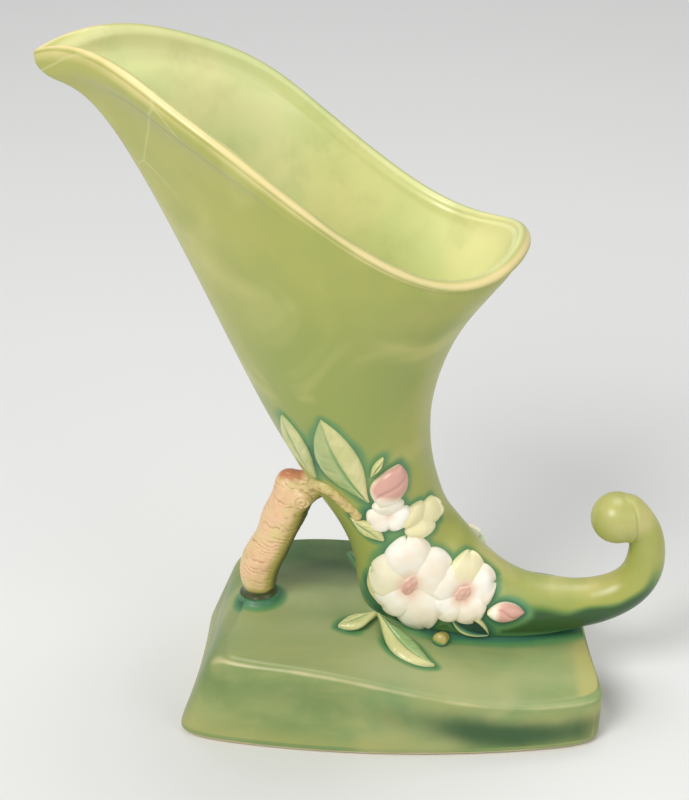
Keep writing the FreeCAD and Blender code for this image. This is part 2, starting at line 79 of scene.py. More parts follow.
BRANCH_SETBACK = 40.8
BRANCH_HEIGHT = 42.0
BRANCH_RADIUS = 6.0
BRANCH_FOOT_RADIUS = 6.6
TWIG_RADIUS = 1.7

LEAF_RELIEF = 1.7
PETAL_RELIEF = 2.8
PETAL_LEAN = 0.16
BUD_RELIEF = 3.4
BLOSSOM_RADIUS = 13.5
EYE_RADIUS = 2.8
EDGE_SINK = 0.3
ROOT = 0.9


# Forms


def smooth(low, high, value):
    t = np.clip((value - low) / (high - low), 0, 1)
    return t * t * (3 - 2 * t)


def bump(value, width, power=2):
    """1 at zero, falling to almost nothing two widths away."""
    return np.exp(-((value / width) ** power))


def steps(count):
    return np.linspace(0, 1, count)


def circle(count, shift=0.0):
    return 2 * np.pi * (np.arange(count) + shift) / count


def unit(vectors):
    return vectors / np.linalg.norm(vectors, axis=-1, keepdims=True)


def noise(points, scale, seed):
    """Smooth noise between -1 and 1, the same at each run."""
    table = np.random.default_rng(seed).random((32, 32, 32))
    p = np.asarray(points) / scale
    i = np.floor(p).astype(int)
    f = p - i
    f = f * f * (3 - 2 * f)
    total = 0
    for step in np.ndindex(2, 2, 2):
        x, y, z = (np.abs(1 - step[k] - f[..., k]) for k in range(3))
        a, b, c = ((i[..., k] + step[k]) % 32 for k in range(3))
        total = total + x * y * z * table[a, b, c]
    return total * 2 - 1


class Curve:
    """A smooth curve through rows of values, whose parameter runs from 0 to 1 in equal steps."""

    def __init__(self, rows):
        f = np.array(rows, float)
        n = len(f) - 1
        h = 1 / n
        a = np.zeros((n + 1, n + 1))
        b = np.zeros_like(f)
        a[0, 0] = a[n, n] = 1
        if n == 2:
            b[0] = (-3 * f[0] + 4 * f[1] - f[2]) / (2 * h)
            b[n] = (3 * f[2] - 4 * f[1] + f[0]) / (2 * h)
        else:
            b[0] = (-11 * f[0] + 18 * f[1] - 9 * f[2] + 2 * f[3]) / (6 * h)
            b[n] = (11 * f[n] - 18 * f[n - 1] + 9 * f[n - 2] - 2 * f[n - 3]) / (6 * h)
        for i in range(1, n):
            a[i, i - 1] = a[i, i + 1] = 1
            a[i, i] = 4
            b[i] = 3 * (f[i + 1] - f[i - 1]) / h
        self.values = f
        self.slopes = np.linalg.solve(a, b)
        self.spans = n

    def at(self, t):
        t = np.clip(np.asarray(t, float), 0, 1) * self.spans
        k = np.minimum(t.astype(int), self.spans - 1)
        s = (t - k)[..., None]
        f, m, h = self.values, self.slopes, 1 / self.spans
        one = (1 + 2 * s) * (1 - s) ** 2 * f[k] + s * (1 - s) ** 2 * h * m[k]
        return one + s * s * (3 - 2 * s) * f[k + 1] - s * s * (1 - s) * h * m[k + 1]

    def heading(self, t):
        step = 1e-4
        return unit(self.at(np.minimum(t + step, 1)) - self.at(np.maximum(t - step, 0)))

    def length(self):
        run = self.at(steps(400))
        return np.linalg.norm(np.diff(run, axis=0), axis=1).sum()


# Plinth laws


def plan_shares(turn):
    """Where a turn round the middle meets the plan, as shares of its half length and half depth."""
    c, s = np.cos(turn), np.sin(turn)
    reach = (np.abs(c) ** PLAN_POWER + np.abs(s) ** PLAN_POWER) ** (-1 / PLAN_POWER)
    return c * reach, s * reach


def plan_point(turn, z, inset=0.0):
    u, v = plan_shares(turn)
    end = HALF_LENGTH - inset - END_DRAFT * z + END_FLARE * v * v - FRONT_STRETCH * v
    side = HALF_DEPTH - inset - SIDE_DRAFT * z - SIDE_BOW * u * u
    return np.stack([end * u + WALL_LEAN * z, side * v, z + 0 * u], -1)


def wave(x):
    """0 where the crest is high, at the left, and 1 where it is low."""
    share = np.clip((x / HALF_LENGTH + 0.565) / 1.4, 0, 1)
    return (1 - np.cos(np.pi * share)) / 2


def crest_height(x):
    return CREST_HIGH + (CREST_LOW - CREST_HIGH) * wave(x)


def crest_point(turn, inset=0.0):
    z = np.full(np.shape(turn), CREST_LOW)
    for _ in range(8):
        z = crest_height(plan_point(turn, z, inset)[..., 0])
    return plan_point(turn, z, inset)


def plinth_top(x, y):
    mound = MOUND_HIGH_END + (MOUND_LOW_END - MOUND_HIGH_END) * wave(x)
    return crest_height(x) + mound * np.maximum(1 - (y / HALF_DEPTH) ** 2, 0)


def above_plinth(points):
    return points[:, 2] - plinth_top(points[:, 0], points[:, 1])


# Horn laws

# x and z of the underside, x and z of the upper side, half width, how far the oval opens into the mouth
HORN_STATIONS = np.array([
    (0.348, 0.002, 0.352, 0.098, 0.218, 0.00),
    (0.215, -0.012, 0.253, 0.120, 0.268, 0.00),
    (0.060, -0.004, 0.186, 0.168, 0.317, 0.00),
    (-0.060, 0.048, 0.140, 0.213, 0.356, 0.00),
    (-0.087, 0.140, 0.110, 0.245, 0.381, 0.00),
    (-0.127, 0.224, 0.090, 0.289, 0.411, 0.00),
    (-0.191, 0.305, 0.074, 0.351, 0.485, 0.00),
    (-0.279, 0.436, 0.077, 0.448, 0.619, 0.03),
    (-0.379, 0.605, 0.122, 0.556, 0.779, 0.20),
    (-0.479, 0.772, 0.186, 0.633, 0.912, 0.48),
    (-0.594, 0.922, 0.230, 0.678, 0.975, 0.80),
    (-0.676, 0.966, 0.250, 0.703, 0.992, 0.94),
    (-0.707, 1.015, 0.2645, 0.727, 1.000, 1.00),
])
SCALE = np.array([HORN_REACH, HORN_HEIGHT])
OFFSET = np.array([HORN_SETOVER, SEAT])
UNDER = Curve(HORN_STATIONS[:, 0:2] * SCALE + OFFSET)
UPPER = Curve(HORN_STATIONS[:, 2:4] * SCALE + OFFSET)
SPREAD = Curve(HORN_STATIONS[:, 4:6] * np.array([MOUTH_WIDTH / 2, 1.0]))
RISE = Curve([[0.0], [0.970], [0.925], [0.560], [-0.215], [-0.907], [-1.042], [0.0]])
RELIEF_END = 8 / 12


def horn(along, across, side, grow=0.0, lift=0.0):
    along, across, side, grow, lift = np.broadcast_arrays(along, across, side, grow, lift)
    low, high, spread = UNDER.at(along), UPPER.at(along), SPREAD.at(along)
    opened = np.clip(spread[..., 1], 0, 1)
    chord = unit(high - low)
    low = low - chord * (grow * (1 + opened / 2))[..., None]
    high = high + chord * grow[..., None]
    width = (spread[..., 0] + grow) * 2 * np.sqrt(np.maximum(across * (1 - across), 0))
    pinch = 1 - 0.905 * opened * np.maximum(1 - 2 * across, 0) ** 1.83
    point = low + (high - low) * across[..., None]
    rise = MOUTH_RISE * opened * opened * RISE.at(across)[..., 0]
    return np.stack([point[..., 0], side * width * pinch, point[..., 1] + rise + lift], -1)


def horn_rings(along, sides, grow=0.0, lift=0.0):
    """Rings from below round the back, over the top and down the front."""
    across = (1 - np.cos(circle(sides))) / 2
    side = np.where(np.arange(sides) < sides / 2, 1.0, -1.0)
    along, grow, lift = (np.atleast_1d(value)[:, None] for value in (along, grow, lift))
    return horn(along, across[None, :], side[None, :], grow, lift)


def spot(along, across):
    """x and z of a place on the horn, from shares along it and across it from its underside."""
    return UNDER.at(along) + (UPPER.at(along) - UNDER.at(along)) * across


# Beds: where a relief's points lie. A spot holds x and z on the horn, or a length and a width on a path.


def on_horn(side):
    def bed(spots, height):
        x, z = spots[..., 0], spots[..., 1]
        near, far = np.zeros_like(x), np.full_like(x, RELIEF_END)
        for _ in range(22):
            along = (near + far) / 2
            low, high = UNDER.at(along), UPPER.at(along)
            chord = high - low
            beyond = chord[..., 0] * (z - low[..., 1]) > chord[..., 1] * (x - low[..., 0])
            near = np.where(beyond, along, near)
            far = np.where(beyond, far, along)
        across = ((x - low[..., 0]) * chord[..., 0] + (z - low[..., 1]) * chord[..., 1]) / (chord**2).sum(-1)
        # Near its two edges the horn turns away, so a relief there is raised as from a little inside them
        held = np.clip(across, 0.07, 0.93)
        raised = horn(along, held, side, height)
        move = raised - horn(along, held, side)
        return np.stack([x + move[..., 0], raised[..., 1], z + move[..., 2]], -1)

    return bed


horn_front = on_horn(-1.0)
horn_back = on_horn(1.0)


def on_bed(bed, place, height=0.0):
    return bed(place[None], np.array([height]))[0]


def on_plinth(x_share, y_share, height=0.0):
    x, y = x_share * HALF_LENGTH, y_share * HALF_DEPTH
    return np.array([x, y, plinth_top(x, y) + height])


def on_path(points):
    """A bed along points in space, and the spots of its two ends."""
    path = Curve(points)
    length = path.length()

    def bed(spots, height):
        along = np.clip(spots[..., 0] / length, 0, 1)
        heading = path.heading(along)
        across = unit(np.stack([heading[..., 1], -heading[..., 0], 0 * heading[..., 0]], -1))
        up = np.cross(across, heading)
        return path.at(along) - across * spots[..., 1:2] + up * np.asarray(height)[..., None]

    return bed, np.zeros(2), np.array([length, 0.0])


# Meshes


def tube(rings, ends=(None, None)):
    """A closed skin through rings of points; each end closes on a given point or on its ring's middle."""
    rows, cols = rings.shape[:2]
    count = rows * cols
    c = np.arange(cols)
    d = (c + 1) % cols
    r = np.arange(rows - 1)[:, None] * cols
    faces = np.stack([r + c, r + d, r + cols + d, r + cols + c], -1).reshape(-1, 4).tolist()
    faces += np.stack([d, c, 0 * c + count], -1).tolist()
    faces += (np.stack([c, d, 0 * c + cols + 1], -1) + count - cols).tolist()
    tips = [ring.mean(0) if end is None else end for end, ring in zip(ends, (rings[0], rings[-1]))]
    return np.concatenate([rings.reshape(-1, 3), tips]), faces


def round_tube(places, headings, radii, sides):
    """Rings round a path in the XZ plane, from below round the back."""
    up = unit(np.stack([-headings[:, 2], 0 * headings[:, 0], headings[:, 0]], -1))[:, None, :]
    back = np.array([0.0, 1.0, 0.0])
    turn = circle(sides)[None, :, None]
    return places[:, None, :] + (back * np.sin(turn) - up * np.cos(turn)) * radii[:, None, :]


def per_point(values, count):
    """A value for each point of a mesh, from one for all, one for each, or rows for a tube's rings."""
    if np.ndim(values) < 2:
        return np.broadcast_to(values, count)
    values = np.broadcast_to(values, (len(values), (count - 2) // len(values)))
    return np.concatenate([values.ravel(), [values[0].mean(), values[-1].mean()]])


def add_object(name, data):
    thing = bpy.data.objects.new(name, data)
    scene.collection.objects.link(thing)
    return thing


def make(name, points, faces, nodes, slot, material, **attributes):
    mesh = bpy.data.meshes.new(name)
    mesh.from_pydata(((points + SHIFT) / 1000).tolist(), [], faces)
    for key, values in attributes.items():
        layer = mesh.attributes.new(key, "FLOAT", "POINT")
        layer.data.foreach_set("value", np.ascontiguousarray(per_point(values, len(points)), np.float32))
    mesh.polygons.foreach_set("use_smooth", [True] * len(mesh.polygons))
    mesh.update()
    piece = add_object(name, mesh)
    piece.data.materials.append(material)
    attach(piece, "root")
    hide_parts(*nodes)


def tree_of(points):
    tree = KDTree(len(points))
    for index, point in enumerate(points):
        tree.insert(point, index)
    tree.balance()
    return tree


def nearest(tree, points, near=slice(None)):
    """Distances from a tree's nearest points, and FAR for the points that aren't near."""
    found = np.full(len(points), FAR)
    found[near] = [tree.find(p)[2] for p in points[near]]
    return found


# Materials


def colour(r, g, b):
    """A screen colour as the linear values that a shader takes."""
    parts = [v / 255 for v in (r, g, b)]
    parts = [p / 12.92 if p <= 0.04045 else ((p + 0.055) / 1.055) ** 2.4 for p in parts]
    return (*parts, 1.0)


class Finish:
    """A node material, built a layer at a time."""

    def __init__(self, name, base, roughness, coat=0.0):
        self.base = base
        self.material = bpy.data.materials.new(name)
        self.material.use_nodes = True
        self.tree = self.material.node_tree
        self.shader = self.tree.nodes["Principled BSDF"]
        self.shader.inputs["Roughness"].default_value = roughness
        self.shader.inputs["Coat Weight"].default_value = coat
        self.shader.inputs["Coat Roughness"].default_value = 0.22
        self.place = self.add("TexCoord", {})["Object"]

    def put(self, value, socket):
        if isinstance(value, bpy.types.NodeSocket):
            self.tree.links.new(value, socket)
        else:
            socket.default_value = value

    def add(self, kind, inputs, **settings):
        """A new node's outputs; inputs maps its sockets to values or to other nodes' outputs."""
        node = self.tree.nodes.new("ShaderNode" + kind)
        for key, value in settings.items():
            setattr(node, key, value)
        for key, value in inputs.items():
            self.put(value, node.inputs[key])
        return node.outputs

    def noise(self, scale, detail=3.0, rough=0.5, stretch=(1, 1, 1), twist=0.0):
        place = self.add("Mapping", {"Vector": self.place, "Scale": stretch})["Vector"]
        look = {"Scale": scale, "Detail": detail, "Roughness": rough, "Distortion": twist}
        return self.add("TexNoise", {"Vector": place, **look})["Fac"]

    def ragged(self, scale):
        """Noise about zero, which breaks up the edges of a layer."""
        return self.math("SUBTRACT", self.noise(scale), 0.5)

    def attribute(self, name):
        return self.add("Attribute", {}, attribute_name=name)["Fac"]

    def loose(self, name, shake, amount):
        """An attribute with some noise on it."""
        return self.math("ADD", self.attribute(name), self.math("MULTIPLY", shake, amount))

    def span(self, value, low, high):
        inputs = {"Value": value, "From Min": low, "From Max": high}
        return self.add("MapRange", inputs, interpolation_type="SMOOTHSTEP")["Result"]

    def math(self, kind, a, b):
        return self.add("Math", {0: a, 1: b}, operation=kind)["Value"]

    def blend(self, amount, a, b):
        """b over a. Each is a screen colour or a node's output."""
        a, b = (colour(*paint) if isinstance(paint, tuple) else paint for paint in (a, b))
        return self.add("Mix", {0: amount, 6: a, 7: b}, data_type="RGBA")[2]

    def layer(self, amount, paint):
        self.base = self.blend(amount, self.base, paint)

    def over(self, value, low, high, paint, share=None):
        """A layer of paint where a value rises from low to high."""
        amount = self.span(value, low, high)
        if share is not None:
            amount = self.math("MULTIPLY", amount, share)
        self.layer(amount, paint)

    def pooled(self, shake):
        """Green to teal glaze where it pools in a hollow."""
        pool = self.loose("pool", shake, 0.35)
        self.over(pool, 0.22, 0.62, (98, 146, 88))
        self.over(pool, 0.55, 1.00, (52, 112, 82))
        self.over(pool, 0.95, 1.30, (26, 68, 60))

    def crackle(self, scale, width):
        """Thin lines between wandering cells."""
        shake = self.add("TexNoise", {"Vector": self.place, "Scale": scale * 0.9})["Color"]
        inputs = {0: shake, 1: (0.012, 0.012, 0.012), 2: self.place}
        moved = self.add("VectorMath", inputs, operation="MULTIPLY_ADD")["Vector"]
        cells = self.add("TexVoronoi", {"Vector": moved, "Scale": scale}, feature="DISTANCE_TO_EDGE")
        return self.math("SUBTRACT", 1.0, self.span(cells["Distance"], 0.0, width))

    def done(self, height=None, strength=0.2):
        self.put(self.base, self.shader.inputs["Base Color"])
        if height is not None:
            relief = self.add("Bump", {"Strength": strength, "Distance": 0.0005, "Height": height})
            self.put(relief["Normal"], self.shader.inputs["Normal"])
        return self.material


def glaze_for_horn():
    look = Finish("horn_glaze", (150, 161, 78), 0.38, 0.22)
    broad = look.noise(11, 3, 0.55, twist=0.6)
    fine = look.noise(70, 4, 0.6)
    shake = look.ragged(60)
    look.over(broad, 0.35, 0.66, (176, 176, 86))
    look.over(look.noise(27, twist=0.8), 0.5, 0.72, (188, 187, 106))
    inside = look.blend(look.span(look.noise(20, 2, twist=1.0), 0.4, 0.65), (212, 217, 150), (226, 222, 158))
    look.layer(look.attribute("inside"), inside)
    look.over(fine, 0.45, 0.8, (142, 160, 88), 0.25)
    craze = look.math("MULTIPLY", look.crackle(26, 0.018), look.span(look.noise(9, 1), 0.5, 0.62))
    look.layer(look.math("MULTIPLY", craze, 0.35), (214, 216, 158))
    # Painted shade: darker green, then deep green, on the underside of the tail and of the horn's foot.
    low = look.loose("dusk", shake, 0.35)
    look.over(low, 0.15, 0.7, (96, 132, 60))
    look.over(low, 0.5, 1.0, (44, 84, 36))
    # Cream where the glaze runs thin at the lip and on the curl, and a painted highlight along the top of the tail
    # and the horn's foot.
    look.over(look.loose("thin", shake, 0.5), 0.3, 0.95, (235, 216, 154))
    look.pooled(shake)
    return look.done(look.noise(160), 0.06)


def glaze_for_plinth():
    look = Finish("plinth_glaze", (124, 146, 82), 0.46, 0.12)
    brushed = look.noise(34, 4, 0.55, stretch=(0.45, 1.0, 1.6), twist=0.6)
    patches = look.noise(26, stretch=(0.8, 1.0, 1.2), twist=1.0)
    fine = look.noise(110, 4, 0.6)
    shake = look.ragged(70)
    look.over(brushed, 0.35, 0.66, (158, 165, 100))
    look.over(patches, 0.50, 0.72, (108, 148, 92), 0.6)
    look.over(look.noise(19, 2, twist=0.7), 0.56, 0.72, (164, 168, 108))
    look.over(fine, 0.5, 0.8, (166, 172, 112), 0.3)
    # Painted shade: deep green under the crest, at the left end and on the top behind the horn and the branch.
    look.over(look.loose("dusk", shake, 0.5), 0.1, 1.0, (50, 86, 42))
    look.over(look.loose("warm", shake, 0.4), 0.2, 1.1, (180, 174, 100))
    # Painted light: the top lighter than the flanks.
    look.layer(look.attribute("pale"), (186, 190, 138))
    look.over(look.loose("thin", shake, 0.7), 0.25, 1.05, (216, 202, 152))
    look.pooled(shake)
    return look.done(look.noise(150), 0.08)


def glaze_for_bark():
    look = Finish("bark_glaze", (236, 196, 152), 0.42, 0.15)
    blotch = look.noise(90, 3, 0.6, twist=0.8)
    fine = look.noise(300, 4, 0.6)
    look.over(blotch, 0.38, 0.62, (226, 202, 142))
    look.over(fine, 0.45, 0.75, (206, 158, 106), 0.35)
    # Olive, then dark olive: painted shade down the branch's right side, and the glaze's own colour at its foot, on
    # the twig and on the stub.
    look.over(look.attribute("olive"), 0.1, 0.75, (184, 170, 92))
    look.over(look.attribute("olive"), 0.75, 1.25, (66, 74, 36))
    look.over(look.attribute("crease"), 0.3, 1.1, (186, 136, 88))
    red = look.loose("blush", look.math("SUBTRACT", blotch, 0.5), 0.6)
    look.over(red, 0.35, 0.95, (206, 130, 92))
    look.over(look.attribute("neck"), 0.1, 0.9, (212, 204, 158))
    look.pooled(look.ragged(120))
    return look.done(fine, 0.12)


def glaze_for_leaves():
    look = Finish("leaf_glaze", (206, 205, 138), 0.3, 0.3)
    mottle = look.noise(90, 3, 0.6)
    shake = look.ragged(140)
    look.over(mottle, 0.4, 0.65, (228, 220, 160))
    look.over(look.loose("vein", shake, 0.4), 0.1, 0.9, (122, 164, 98))
    look.pooled(shake)
    return look.done(mottle, 0.08)


def glaze_for_petals():
    look = Finish("petal_glaze", (250, 236, 212), 0.32, 0.25)
    mottle = look.noise(80, 3, 0.6)
    shake = look.math("SUBTRACT", mottle, 0.5)
    look.over(mottle, 0.35, 0.7, (255, 251, 238))
    look.over(look.loose("warm", shake, 0.6), 0.3, 1.0, (238, 228, 168))
    blush = look.loose("blush", shake, 0.7)
    look.over(blush, 0.15, 0.75, (242, 213, 186))
    look.over(blush, 0.6, 1.15, (219, 166, 150))
    look.over(look.attribute("rim"), 0.45, 1.3, (190, 212, 168))
    return look.done(mottle, 0.05)


def clay_body():
    look = Finish("bare_clay", (222, 208, 184), 0.75)
    grain = look.noise(400, 4, 0.6)
    look.over(grain, 0.35, 0.7, (236, 226, 206))
    return look.done(grain)


horn_glaze = glaze_for_horn()
plinth_glaze = glaze_for_plinth()
bark_glaze = glaze_for_bark()
leaf_glaze = glaze_for_leaves()
petal_glaze = glaze_for_petals()
clay = clay_body()


# Relief: leaves, buds and blossoms

PATCH_ROWS = 72
PETAL_ROWS = 48
TOP_COLS = 41
# Shares across a patch: from edge to edge over its top, then back below it
ACROSS = np.append(np.sin(np.linspace(-np.pi / 2, np.pi / 2, TOP_COLS)), [0.6, 0.0, -0.6])[None, :]
LEAF_PLAN = Curve([[0.02], [0.36], [0.74], [0.97], [1.0], [0.84], [0.52], [0.0]])
BUD_PLAN = Curve([[0.1], [0.62], [0.9], [1.0], [0.94], [0.78], [0.5], [0.0]])
relief_points = []


def relief(name, points, faces, slot, material, **attributes):
    relief_points.append(points)
    make("vis_" + name, points, faces, [name], slot, material, **attributes)


def patch(bed, base, tip, plan, width, height, bend=0.0):
    """A closed patch with pointed ends, and the shares along and across it of each of its points."""
    u = np.linspace(0.012, 0.988, PATCH_ROWS)[:, None]
    run = tip - base
    square = np.array([-run[1], run[0]])
    spine = base + run * u[..., None] + square * (bend * np.sin(np.pi * u[..., None]))
    half = plan.at(u)[..., 0] * width / 2
    spots = spine + square * (half * ACROSS)[..., None]
    tall = height(u, ACROSS)
    tall[:, TOP_COLS:] = -ROOT
    tall[:, 0] = tall[:, TOP_COLS - 1] = -EDGE_SINK
    u, v = np.broadcast_arrays(u, ACROSS)
    points, faces = tube(bed(spots, tall), [on_bed(bed, end, -0.2) for end in (base, tip)])
    return points, faces, u, v


def edged(v, tall):
    """Heights that round down into the bed at a patch's sides."""
    fall = np.sqrt(np.maximum(1 - np.abs(v) ** 6, 0))
    return -EDGE_SINK + (tall + EDGE_SINK) * fall


def side_veins(u, v):
    return np.maximum(np.cos(np.pi * 2 * (u * 5.5 - np.abs(v) * 0.9)), 0) ** 6


def leaf(name, bed, base, tip, width, bend=0.0, hollow=False, green=0.0, side=1):
    """A veined leaf, or a hollow loop. green tints one side of the midrib, or with side 0 both."""

    def height(u, v):
        lengthwise = 0.45 + 0.55 * np.sin(np.pi * u) ** 0.6
        if hollow:
            shape = 0.2 + 0.8 * smooth(0.45, 0.85, np.abs(v))
        else:
            midrib = bump(v, 0.13) * (1 - 0.5 * u)
            veins = side_veins(u, v) * np.minimum(np.abs(v) * 3, 1)
            shape = 0.95 - 0.25 * np.abs(v) ** 3 - 0.5 * midrib - 0.12 * veins + 0.06 * np.sin(9 * u + 4 * v)
        return edged(v, LEAF_RELIEF * lengthwise * shape)

    points, faces, u, v = patch(bed, base, tip, LEAF_PLAN, width, height, bend)
    pool = 0.4 * smooth(0.93, 1.0, np.abs(v))
    if hollow:
        vein = 1.4 * (1 - smooth(0.5, 0.8, np.abs(v)))
        pool = pool + 0.9 * vein
    else:
        vein = np.maximum(bump(v, 0.12) * (1.1 - 0.5 * u), 0.3 * side_veins(u, v) * (1 - np.abs(v)))
        vein = np.maximum(vein, green * (1 - smooth(-0.2, 0.3, -v * side)))
    relief(name, points, faces, "leaf_glaze", leaf_glaze, vein=vein, pool=pool)


def bud(name, bed, base, tip, width):
    def fold(u, v, breadth):
        """The edge of the petal that is wrapped round the bud."""
        return bump(v - 0.75 * np.cos(np.pi * u), breadth)

    def height(u, v):
        lengthwise = 0.5 + 0.5 * np.sin(np.pi * np.minimum(u * 1.05, 1)) ** 0.7
        dome = np.sqrt(np.maximum(1 - 0.85 * v**2, 0))
        return edged(v, BUD_RELIEF * lengthwise * dome - 0.45 * fold(u, v, 0.12))

    points, faces, u, v = patch(bed, base, tip, BUD_PLAN, width, height)
    blush = 1.15 * smooth(0.10, 0.42, u) * (1 - 0.5 * smooth(0.75, 1.0, np.abs(v))) + 0.2 * fold(u, v, 0.16)
    relief(
        name, points, faces, "pink_glaze", petal_glaze,
        blush=blush, warm=0.7 * (1 - smooth(0.0, 0.3, u)), rim=smooth(0.93, 1.0, np.abs(v)),
    )


def petal_part(bed, centre, angle, length, width, tall, stretch):
    """One petal, and for each of its points the shares along and across it and how near its rim it is."""
    u, v = np.broadcast_arrays(np.linspace(0.0, 1.0, PETAL_ROWS)[:, None] ** 0.85, ACROSS)
    half = width * (0.30 + 0.70 * np.sin(np.pi * np.minimum(u / 1.25, 1)))
    half = half * np.sqrt(np.maximum(1 - u**5, 0)) + 0.02
    notch = 1 - 0.07 * bump(v, 0.25) * u**3
    reach = length * (-0.10 + 1.10 * u * notch)
    out = np.array([math.cos(angle), math.sin(angle)])
    square = np.array([-out[1], out[0]])
    spots = out * reach[..., None] + square * (half * v)[..., None]
    spots = centre + spots * np.array([1.0, 1.0 + stretch])
    ripple = 0.05 * np.sin(6 * v + 3 * angle) * u + 0.07 * np.cos(9 * v) * u
    shape = 0.42 + 0.62 * smooth(0.0, 0.6, u) - 0.30 * smooth(0.7, 1.0, u) + PETAL_LEAN * v * smooth(0.1, 0.6, u)
    shape = shape * (1 - 0.62 * v**2 * smooth(0.05, 0.4, u)) * (1 - 0.35 * u**6)
    shape = shape - 0.12 * bump(v, 0.2) * smooth(0.1, 0.5, u) + ripple
    fall = np.sqrt(np.maximum(1 - np.abs(v) ** 8, 0)) * np.sqrt(np.maximum(1 - u**14, 0))
    height = -EDGE_SINK + (tall * shape + EDGE_SINK) * fall
    height = np.where(np.arange(ACROSS.size) < TOP_COLS, height, -ROOT)
    points, faces = tube(bed(spots, height))
    rim = np.maximum(smooth(0.9, 1.0, np.abs(v)), smooth(0.93, 1.0, u))
    return points, faces, u, v, rim


def blossom(name, bed, centre, scale, petals, turn, stretch=0.0, warm=(0.0,), pink=1.0, lengths=(1.0,), sway=(0.0,)):
    """A ring of petals. warm, lengths and sway hold a value for each petal and start again when they run out."""
    radius = scale * BLOSSOM_RADIUS
    tall = PETAL_RELIEF * min(scale + 0.25, 1.0)
    width = radius * (0.56 if petals > 3 else 0.74)
    parts, faces, layers = [], [], []
    start = 0
    for k in range(petals):
        angle = 2 * np.pi * k / petals + turn + sway[k % len(sway)]
        length = radius * lengths[k % len(lengths)]
        points, part_faces, u, v, rim = petal_part(bed, centre, angle, length, width, tall, stretch)
        streak = 0.35 * bump(v, 0.35) * (1 - smooth(0.3, 0.9, u))
        # Painted shade: peach along the petals' sides, where they overlap.
        streak = streak + 0.22 * smooth(0.55, 1.0, np.abs(v)) * smooth(0.2, 0.6, u)
        blush = pink * (1.1 * (1 - smooth(0.05, 0.5, u)) + streak)
        parts.append(points)
        faces += [[i + start for i in face] for face in part_faces]
        layers.append([per_point(values, len(points)) for values in (blush, rim, warm[k % len(warm)])])
        start += len(points)
    blush, rim, warm = np.concatenate(layers, 1)
    relief(name, np.concatenate(parts), faces, "petal_glaze", petal_glaze, blush=blush, rim=rim, warm=warm)


def eye(name, bed, centre, scale, tilt=0.0, long=1.25):
    """A blossom's middle: a low, soft oval, this many times as long as broad."""
    cols = 56
    u = np.linspace(0.04, 1.0, 20)[:, None]
    turn = circle(cols)[None, :]
    x, y = u * np.cos(turn), u * np.sin(turn)
    lumps = np.maximum(np.cos(7.5 * x + 0.7) * np.cos(7.5 * y), 0) ** 0.7
    height = 1.0 + 1.25 * np.sqrt(np.maximum(1 - u**2, 0)) + 0.2 * lumps * (1 - u**3)
    height = np.where(u > 0.99, -EDGE_SINK, height)
    broad = x * (1.0 + 0.18 * np.sin(2 * turn + 0.6))
    c, s = math.cos(tilt), math.sin(tilt)
    spots = np.stack([broad * c - long * y * s, broad * s + long * y * c], -1)
    spots = centre + spots * (EYE_RADIUS * scale)
    lower = bed(spots[-1:] * 0.4 + centre * 0.6, np.full((1, cols), -ROOT))
    points, faces = tube(np.concatenate([bed(spots, height), lower]), [on_bed(bed, centre, 2.5), None])
    blush = np.concatenate([1.0 - 0.12 * lumps - 0.6 * smooth(0.55, 1.0, u), np.full((1, cols), 0.4)])
    relief(name, points, faces, "pink_glaze", petal_glaze, blush=blush, rim=0.0, warm=0.0)


main_centre = spot(0.262, 0.50)
right_centre = spot(0.167, 0.68)
back_centre = spot(0.185, 0.70)
leaf("leaf_upper_main", horn_front, spot(0.475, 0.475), spot(0.602, 0.395), 0.36, 0.06, green=0.5)
leaf("leaf_upper_left", horn_front, spot(0.520, 0.175), spot(0.596, 0.175), 0.26, 0.03, green=0.55, side=0)
leaf("leaf_sliver", horn_front, spot(0.522, 0.57), spot(0.547, 0.688), 0.30)
leaf("leaf_side", horn_front, spot(0.446, 0.245), spot(0.382, 0.42), 0.42)
leaf("leaf_sepal", horn_front, spot(0.238, 0.205), spot(0.338, 0.245), 0.48)
leaf("leaf_loop", horn_front, spot(0.165, 0.45), spot(0.095, 0.27), 0.5, hollow=True)
foot_root = on_bed(horn_front, spot(0.247, 0.13), 1.2)
small_path = [foot_root, on_plinth(-0.17, -0.29, 1.2), on_plinth(-0.26, -0.34)]
leaf("leaf_foot_small", *on_path(small_path), 0.5)
long_path = [foot_root, on_plinth(0.03, -0.40, 1.2), on_plinth(0.12, -0.53), on_plinth(0.23, -0.61)]
leaf("leaf_foot_long", *on_path(long_path), 0.34, green=0.7)
bud("bud_top", horn_front, spot(0.462, 0.54), spot(0.527, 0.78), 0.72)
bud("bud_right", horn_front, spot(0.112, 0.58), spot(0.052, 0.66), 0.55)
blossom("blossom_top", horn_front, spot(0.435, 0.56), 0.50, 3, 1.6, warm=(0.4, 0.15, 0.1), pink=0.35)
blossom("blossom_side", horn_front, spot(0.385, 0.80), 0.48, 3, 0.4, warm=(0.8,), pink=0.2)
blossom("blossom_right", horn_front, right_centre, 0.78, 5, 0.1, 0.16, warm=(0.1, 0.75, 0.1, 0.0, 0.2))
blossom(
    "blossom_main", horn_front, main_centre, 1.0, 5, 0.35, 0.27, warm=(0.0, 0.1, 0.6, 0.35, 0.0), pink=0.7,
    lengths=(1.0, 1.02, 0.92, 0.9, 1.2), sway=(-0.08, 0.05, 0.0, -0.2, -0.35),
)
eye("blossom_right_eye", horn_front, right_centre, 0.82, -1.05, 1.6)
eye("blossom_main_eye", horn_front, main_centre, 0.92, -0.3, 1.85)

